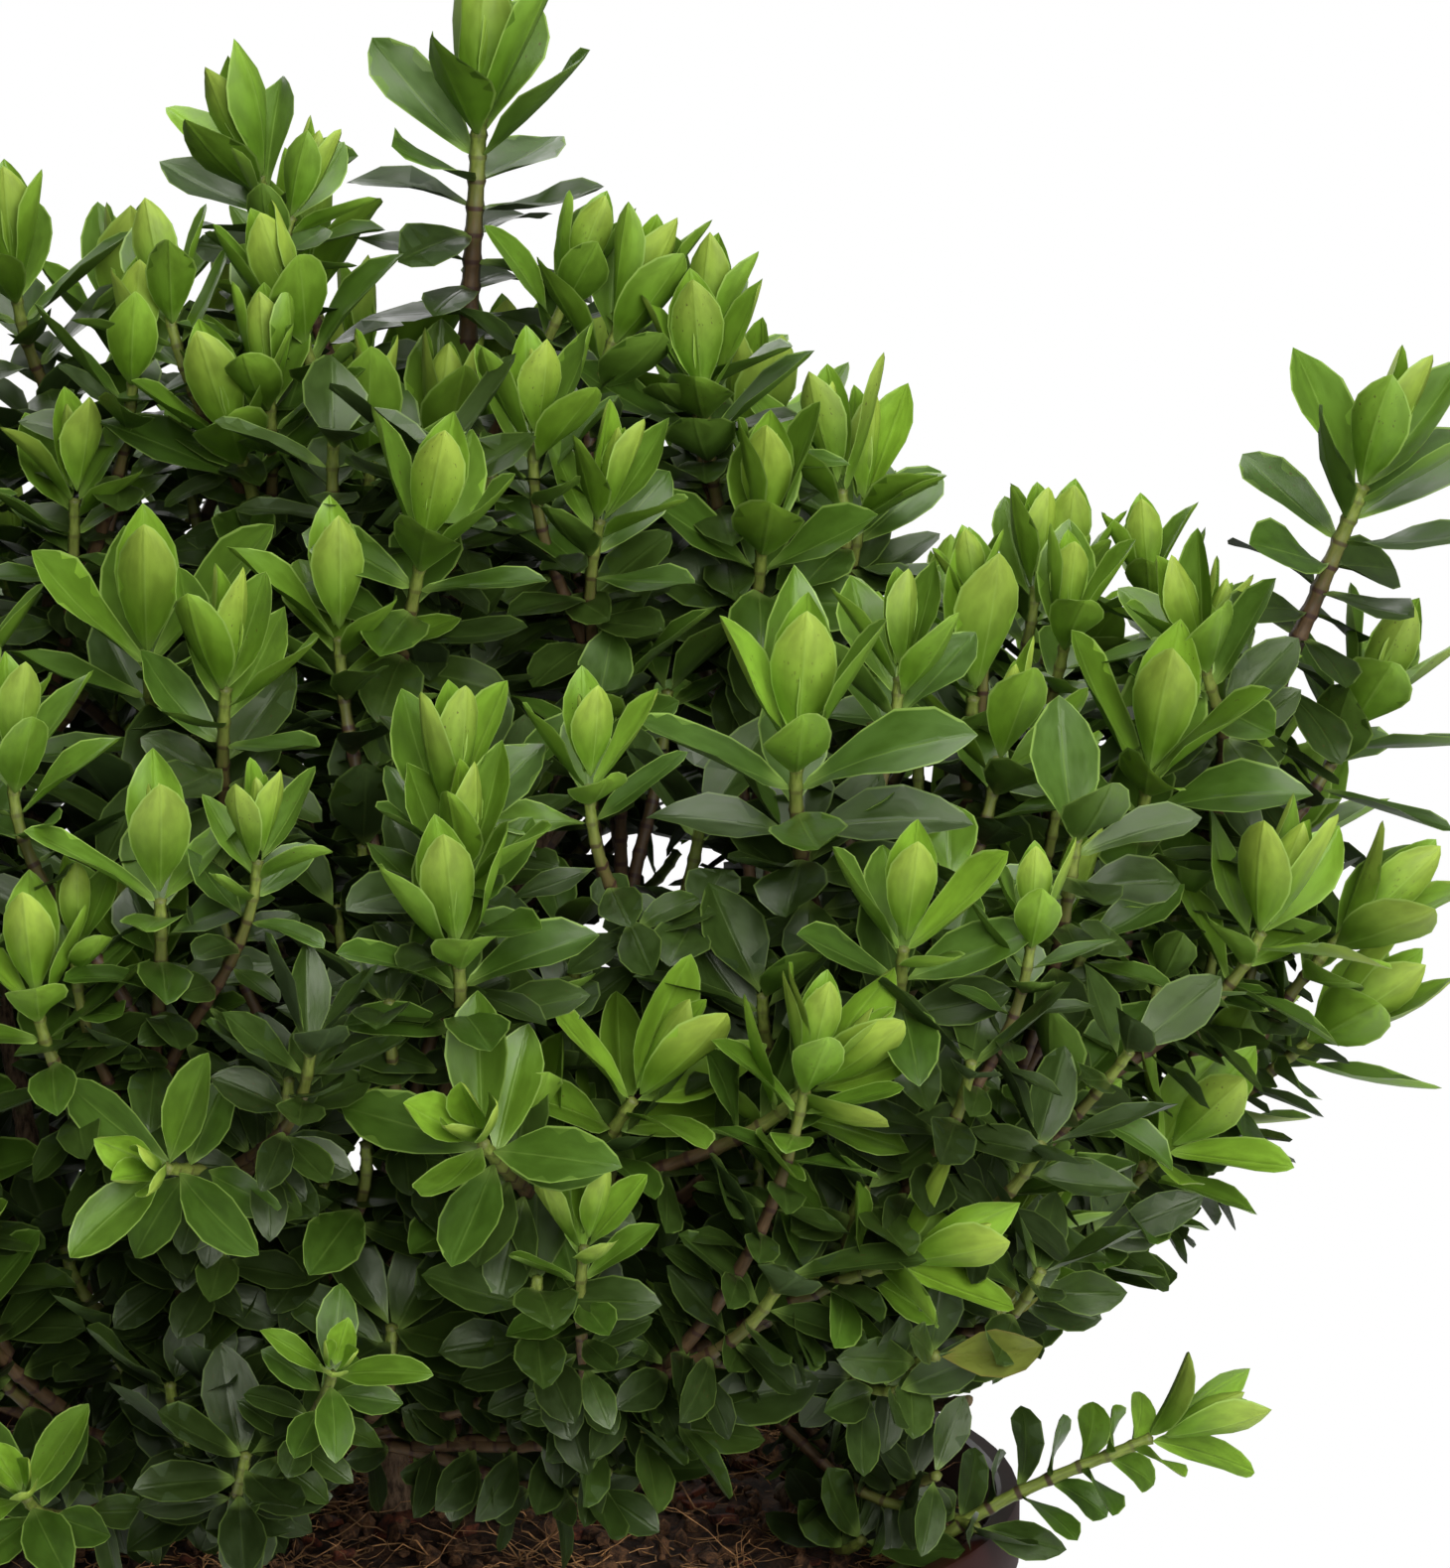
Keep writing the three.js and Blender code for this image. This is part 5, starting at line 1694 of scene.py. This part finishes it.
class HEBE_OT_pot(bpy.types.Operator):
    """The thin plastic pot with its lip, foot and drain holes"""

    bl_idname = "hebe.pot"
    bl_label = "Pot"

    def execute(self, context):
        pot = self.shell(context)
        self.drain(context, pot)
        bpy.ops.object.shade_smooth_by_angle(angle=POT_SHARP)
        finish_piece(pot, plastic_material(context.scene.hebe_pot), ["pot"])
        return {"FINISHED"}

    def profile(self):
        """Radius and height of each ring of the pot, up its outside and down its inside."""
        lip_foot = POT_HEIGHT - POT_LIP_HEIGHT
        inner_top = wall_radius(POT_HEIGHT) - POT_WALL
        return (
            (POT_BASE_RADIUS - POT_EDGE * 3, 0.0),
            (POT_BASE_RADIUS - POT_EDGE, POT_EDGE * 0.6),
            (wall_radius(POT_EDGE * 2.5), POT_EDGE * 2.5),
            (wall_radius(0.012), 0.012),
            (wall_radius(0.0135) + 0.0006, 0.0135),
            (wall_radius(0.0165) + 0.0006, 0.0165),
            (wall_radius(0.018), 0.018),
            (wall_radius(lip_foot - 0.004), lip_foot - 0.004),
            (wall_radius(lip_foot), lip_foot),
            (POT_RIM_RADIUS - POT_EDGE, lip_foot + POT_EDGE * 0.2),
            (POT_RIM_RADIUS, lip_foot + POT_EDGE),
            (POT_RIM_RADIUS, POT_HEIGHT - POT_EDGE * 1.4),
            (POT_RIM_RADIUS - POT_EDGE * 0.4, POT_HEIGHT - POT_EDGE * 0.4),
            (POT_RIM_RADIUS - POT_EDGE * 1.4, POT_HEIGHT),
            (inner_top + POT_EDGE, POT_HEIGHT),
            (inner_top, POT_HEIGHT - POT_EDGE),
            (wall_radius(0.1) - POT_WALL, 0.1),
            (wall_radius(POT_FLOOR) - POT_WALL, POT_FLOOR),
            (0.04, POT_FLOOR),
        )

    def shell(self, context):
        (radius, height), *others = self.profile()
        disc = {"vertices": POT_SEGMENTS, "radius": radius, "fill_type": "NGON"}
        bpy.ops.mesh.primitive_circle_add(**disc, location=(0, 0, height))
        pot = context.active_object
        pot.name = pot.data.name = "pot_shell"
        bpy.ops.object.mode_set(mode="EDIT")
        bpy.ops.mesh.select_all(action="SELECT")
        bpy.ops.mesh.flip_normals()
        mesh = bmesh.from_edit_mesh(pot.data)
        for edge in mesh.edges:
            edge.select = True
        for face in mesh.faces:
            face.select = False
        mesh.select_mode = {"EDGE"}
        bmesh.update_edit_mesh(pot.data)
        bpy.ops.mesh.select_mode(type="EDGE")
        bpy.ops.mesh.select_all(action="SELECT")
        for wider, higher in others:
            bpy.ops.mesh.extrude_edges_move(TRANSFORM_OT_translate={"value": (0, 0, higher - height)})
            scale = wider / radius
            bpy.ops.transform.resize(value=(scale, scale, 1.0), center_override=(0, 0, higher))
            radius, height = wider, higher
        bpy.ops.mesh.edge_face_add()
        bpy.ops.mesh.select_all(action="SELECT")
        bpy.ops.mesh.normals_make_consistent(inside=False)
        bpy.ops.object.mode_set(mode="OBJECT")
        return pot

    def drain(self, context, pot):
        """Cuts the drain holes into the pot's floor."""
        holes = []
        for number in range(DRAIN_COUNT):
            turn = (number + 0.5) / DRAIN_COUNT * 2 * math.pi
            place = (DRAIN_CIRCLE * math.cos(turn), DRAIN_CIRCLE * math.sin(turn), POT_FLOOR / 2)
            size = {"vertices": 24, "radius": DRAIN_RADIUS, "depth": POT_FLOOR * 4}
            bpy.ops.mesh.primitive_cylinder_add(**size, location=place)
            holes.append(context.active_object)
        select_only(holes)
        bpy.ops.object.join()
        cutter = context.active_object
        for piece in (cutter, pot):
            select_only([piece])
            bpy.ops.object.transform_apply(location=True, rotation=True, scale=True)
        cut = pot.modifiers.new("drain holes", "BOOLEAN")
        cut.operation, cut.solver, cut.object = "DIFFERENCE", "EXACT", cutter
        bpy.ops.object.modifier_apply(modifier=cut.name)
        bpy.data.objects.remove(cutter)


# ---- compost ----
def compost_height(across, deep):
    """Height of the compost's surface: the mound, its lumps and its grain."""
    inner = wall_radius(COMPOST_EDGE) - POT_WALL
    out = np.hypot(across, deep) / inner
    mound = COMPOST_MOUND * (1 - out * out)
    x, y = across * 1000, deep * 1000
    wave = np.sin(x * 0.081 + 1.3) * np.cos(y * 0.067 - 0.4) + 0.6 * np.sin((x + y) * 0.13)
    return COMPOST_EDGE + mound + 0.0009 * wave * (1 - out**4)


class HEBE_OT_compost(bpy.types.Operator):
    """The compost with its lumps, crumbs, fibres and bark chips"""

    bl_idname = "hebe.compost"
    bl_label = "Compost"

    def execute(self, context):
        settings = context.scene.hebe_pot
        random = np.random.default_rng(context.scene.hebe_crown.seed + 5)
        self.soil(settings, random)
        self.crumbs(settings, random)
        self.fibres(settings, random)
        self.chips(settings, random)
        return {"FINISHED"}

    def spot(self, random, clear=0.003):
        """A random place on the compost, away from the wall."""
        inner = wall_radius(COMPOST_EDGE) - POT_WALL - clear
        radius, turn = inner * math.sqrt(random.random()), random.uniform(0, 2 * math.pi)
        return np.array((radius * math.cos(turn), radius * math.sin(turn), 0.0))

    def soil(self, settings, random):
        """The compost's lumpy surface, its side and its flat bottom."""
        rings, sides = 74, 150
        outer = wall_radius(COMPOST_EDGE) - POT_WALL - 0.0004
        radius, turn = np.linspace(0.0015, outer, rings), circle_turns(sides)
        across, deep = radius[:, None] * np.cos(turn), radius[:, None] * np.sin(turn)
        height = compost_height(across, deep)
        lumps = np.zeros_like(height)
        for _ in range(70):
            pitch = random.uniform(90, 900)
            angle, shift = random.uniform(0, math.pi), random.uniform(0, 6)
            wave = pitch * (across * math.cos(angle) + deep * math.sin(angle)) + shift
            lumps += np.sin(wave) * (150 / pitch) ** 0.5
        lumps = np.abs(lumps) / 6.0
        grain = random.normal(0, 1, height.shape)
        edge = np.clip((outer - radius) / 0.004, 0, 1)[:, None]
        height = height + (0.0011 * (lumps - 0.6) + 0.0004 * grain) * edge - 0.0006
        points = np.stack([across, deep, height], -1).reshape(-1, 3)
        bottom = COMPOST_EDGE - COMPOST_SKIRT
        inward = (wall_radius(bottom) - POT_WALL - 0.0006) / outer
        low = np.stack([across[-1] * inward, deep[-1] * inward, np.full(sides, bottom)], -1)
        middle = np.array([[0, 0, compost_height(0.0, 0.0)], [0, 0, bottom]])
        gathered = Gathered()
        gathered.add(np.concatenate([points, low, middle]), tube_faces(rings + 1, sides))
        side = np.arange(sides)
        after = (side + 1) % sides
        count = (rings + 1) * sides
        gathered.more(np.stack([np.full(sides, count), side, after], -1))
        gathered.more(np.stack([np.full(sides, count + 1), rings * sides + after, rings * sides + side], -1))
        piece = gathered.mesh_object("compost_surface", mapped=False)
        flip_outward(piece)
        dark, pale = (scaled(settings.compost, factor) for factor in (0.45, 1.9))
        material = grain_material("compost", dark, pale, 260.0, 0.8, 0.95, 0.0008)
        finish_piece(piece, material, ["compost"])

    def crumbs(self, settings, random):
        gathered = Gathered()
        ball = bmesh.new()
        bmesh.ops.create_icosphere(ball, subdivisions=1, radius=1.0)
        points = np.array([tuple(vertex.co) for vertex in ball.verts])
        faces = np.array([[vertex.index for vertex in face.verts] for face in ball.faces])
        ball.free()
        for _ in range(settings.crumbs):
            place = self.spot(random)
            size = 0.0007 + 0.0020 * random.random() ** 2.2
            stretched = points * random.uniform(0.6, 1.3, 3)
            shape = stretched * (1 + random.normal(0, 0.16, len(points)))[:, None] * size
            place[2] = compost_height(place[0], place[1]) + size * 0.35
            gathered.add(shape + place, faces)
        piece = gathered.mesh_object("compost_crumbs", smooth=False, mapped=False)
        material = grain_material("crumbs", linear(48, 31, 20), linear(124, 88, 58), 420.0, 0.8, 0.95, 0.0004)
        finish_piece(piece, material)

    def fibres(self, settings, random):
        gathered = Gathered()
        tufts = [self.spot(random, 0.010) for _ in range(TUFTS)]
        inner = wall_radius(COMPOST_EDGE) - POT_WALL - 0.001
        for number in range(settings.fibres):
            if number % 3:
                place = tufts[number % TUFTS] + random.normal(0, 0.005, 3) * (1, 1, 0)
                length = random.uniform(0.005, 0.022)
            else:
                place = self.spot(random, 0.008)
                length = random.uniform(0.012, 0.034)
            turn = random.uniform(0, 2 * math.pi)
            bends = turn + np.cumsum(random.normal(0, 0.42, 9))
            rises = random.normal(0.12, 0.34) + random.normal(0, 0.3, 9)
            steps = np.stack([np.cos(bends), np.sin(bends), rises], -1)
            path = place + np.concatenate([[np.zeros(3)], np.cumsum(unit(steps) * length / 9, 0)])
            away = np.hypot(path[:, 0], path[:, 1])
            path[:, :2] *= np.minimum(1.0, inner / np.maximum(away, 1e-6))[:, None]
            ground = compost_height(path[:, 0], path[:, 1]) + 0.0005
            path[:, 2] = np.clip(path[:, 2] + ground[0], ground, ground + 0.012)
            radius = random.uniform(0.00011, 0.00026)
            add_tube(gathered, path, radius * np.linspace(1, 0.4, len(path)), 3)
        piece = gathered.mesh_object("compost_fibres", mapped=False)
        dark, pale = (scaled(settings.fibre, factor) for factor in (0.4, 1.3))
        finish_piece(piece, grain_material("fibres", dark, pale, 90.0, 0.6, 0.85, 0.0001))

    def chips(self, settings, random):
        gathered = Gathered()
        corners = np.array([(x, y, z) for z in (-1, 1) for y in (-1, 1) for x in (-1, 1)], float)
        faces = ((0, 2, 3, 1), (4, 5, 7, 6), (0, 1, 5, 4), (2, 6, 7, 3), (0, 4, 6, 2), (1, 3, 7, 5))
        for _ in range(settings.chips):
            place = self.spot(random, 0.009)
            size = np.array([random.uniform(*limits) for limits in CHIP_SIZES])
            turn, tilt = random.uniform(0, math.pi), random.normal(0, 0.35)
            shape = corners * size * (1 + random.normal(0, 0.16, corners.shape))
            cosine, sine = math.cos(turn), math.sin(turn)
            spin = np.array(((cosine, -sine, 0), (sine, cosine, 0), (0, 0, 1)))
            cosine, sine = math.cos(tilt), math.sin(tilt)
            lean = np.array(((cosine, 0, sine), (0, 1, 0), (-sine, 0, cosine)))
            place[2] = compost_height(place[0], place[1]) + size[2] * 0.9
            gathered.add(shape @ lean.T @ spin.T + place, faces)
        piece = gathered.mesh_object("bark_chips", smooth=False, mapped=False)
        select_only([piece])
        soften = piece.modifiers.new("worn edges", "BEVEL")
        soften.width, soften.segments = 0.0003, 2
        bpy.ops.object.modifier_apply(modifier=soften.name)
        dark, pale = linear(70, 34, 22), linear(132, 70, 44)
        finish_piece(piece, grain_material("bark chips", dark, pale, 500.0, 0.7, 0.9, 0.0005))


def flip_outward(piece):
    """Turns a closed mesh's faces to point outwards."""
    select_only([piece])
    bpy.ops.object.mode_set(mode="EDIT")
    bpy.ops.mesh.select_all(action="SELECT")
    bpy.ops.mesh.normals_make_consistent(inside=False)
    bpy.ops.object.mode_set(mode="OBJECT")


# ---- stage ----
class HEBE_OT_stage(bpy.types.Operator):
    """Floor, soft lights, white room and camera"""

    bl_idname = "hebe.stage"
    bl_label = "Stage"

    def execute(self, context):
        settings = context.scene.hebe_stage
        self.floor(context, settings.floor_radius)
        self.room(context, settings.room_light)
        for name, (place, height, size, power, share) in LIGHTS.items():
            light = self.added(context, bpy.data.lights.new(name, "AREA"))
            light.data.size = size
            light.data.energy = getattr(settings, power) * share
            light.location = place
            aim = Vector((0, 0, height)) - Vector(place)
            light.rotation_euler = aim.to_track_quat("-Z", "Y").to_euler()
        camera = self.added(context, bpy.data.cameras.new("camera"))
        camera.location = CAMERA_PLACE
        camera.rotation_euler = (math.pi / 2 - CAMERA_PITCH, 0, -CAMERA_YAW)
        camera.data.lens = FOCAL_PIXELS * SENSOR / PICTURE_HEIGHT
        camera.data.sensor_width = SENSOR
        context.scene.camera = camera
        context.scene.view_settings.view_transform = "Standard"
        return {"FINISHED"}

    def floor(self, context, radius):
        """A round pale floor that fades into the room at its edge."""
        bpy.ops.mesh.primitive_circle_add(vertices=128, radius=radius, fill_type="NGON", location=(0, 0, 0))
        floor = context.active_object
        floor.name = "floor"
        wire = Finish("pale floor")
        shade = wire.spread(wire.noise(wire.place(), 3.0), 0.88, 0.92)
        away = wire.made("ShaderNodeVectorMath", {0: wire.place()}, "Value", operation="LENGTH")
        fade = wire.times(wire.ramp(away, radius * 0.45, radius * 0.97), wire.seen())
        wire.feed(wire.shader.inputs["Emission Color"], wire.grey(fade))
        wire.feed(wire.shader.inputs["Emission Strength"], 0.6)
        floor.data.materials.append(wire.finished(wire.grey(shade), 0.9))
        floor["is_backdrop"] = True

    def room(self, context, light):
        world = bpy.data.worlds.new("white room")
        world.use_nodes = True
        context.scene.world = world
        wire = Wiring(world.node_tree)
        background = world.node_tree.nodes["Background"]
        background.inputs["Color"].default_value = (1, 1, 1, 1)
        wire.feed(background.inputs["Strength"], wire.ramp(wire.seen(), 0.0, 1.0, light, 1.0, smooth=False))

    def added(self, context, data):
        piece = bpy.data.objects.new(data.name, data)
        context.scene.collection.objects.link(piece)
        return piece


class HEBE_PT_panel(bpy.types.Panel):
    """The parts of the shrub"""

    bl_label = "Potted hebe shrub"
    bl_idname = "HEBE_PT_panel"
    bl_space_type = "VIEW_3D"
    bl_region_type = "UI"
    bl_category = "Hebe"

    def draw(self, context):
        for group, operators in SECTIONS:
            box = self.layout.box()
            settings = getattr(context.scene, group)
            for name in settings.__annotations__:
                box.prop(settings, name)
            for operator in operators:
                box.operator(operator.bl_idname)


SETTINGS = {
    "hebe_leaf": HebeLeafSettings,
    "hebe_crown": HebeCrownSettings,
    "hebe_pot": HebePotSettings,
    "hebe_stage": HebeStageSettings,
}
SECTIONS = (
    ("hebe_crown", (HEBE_OT_limbs, HEBE_OT_shoots)),
    ("hebe_leaf", (HEBE_OT_leaves,)),
    ("hebe_pot", (HEBE_OT_pot, HEBE_OT_compost)),
    ("hebe_stage", (HEBE_OT_stage,)),
)
OPERATORS = [operator for _, operators in SECTIONS for operator in operators]


def register():
    for kind in (*SETTINGS.values(), *OPERATORS, HEBE_PT_panel):
        bpy.utils.register_class(kind)
    for name, kind in SETTINGS.items():
        setattr(bpy.types.Scene, name, bpy.props.PointerProperty(type=kind))


def unregister():
    for name in SETTINGS:
        delattr(bpy.types.Scene, name)
    for kind in (HEBE_PT_panel, *reversed(OPERATORS), *reversed(SETTINGS.values())):
        bpy.utils.unregister_class(kind)


def main():
    register()
    bpy.ops.hebe.limbs()
    bpy.ops.hebe.shoots()
    bpy.ops.hebe.leaves()
    bpy.ops.hebe.pot()
    bpy.ops.hebe.compost()
    bpy.ops.hebe.stage()
    boxes = {"cad": cad_box, "visual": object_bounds()}
    {name: [[float(value) for value in corner] for corner in box] for name, box in boxes.items()}


if __name__ == "__main__":
    main()
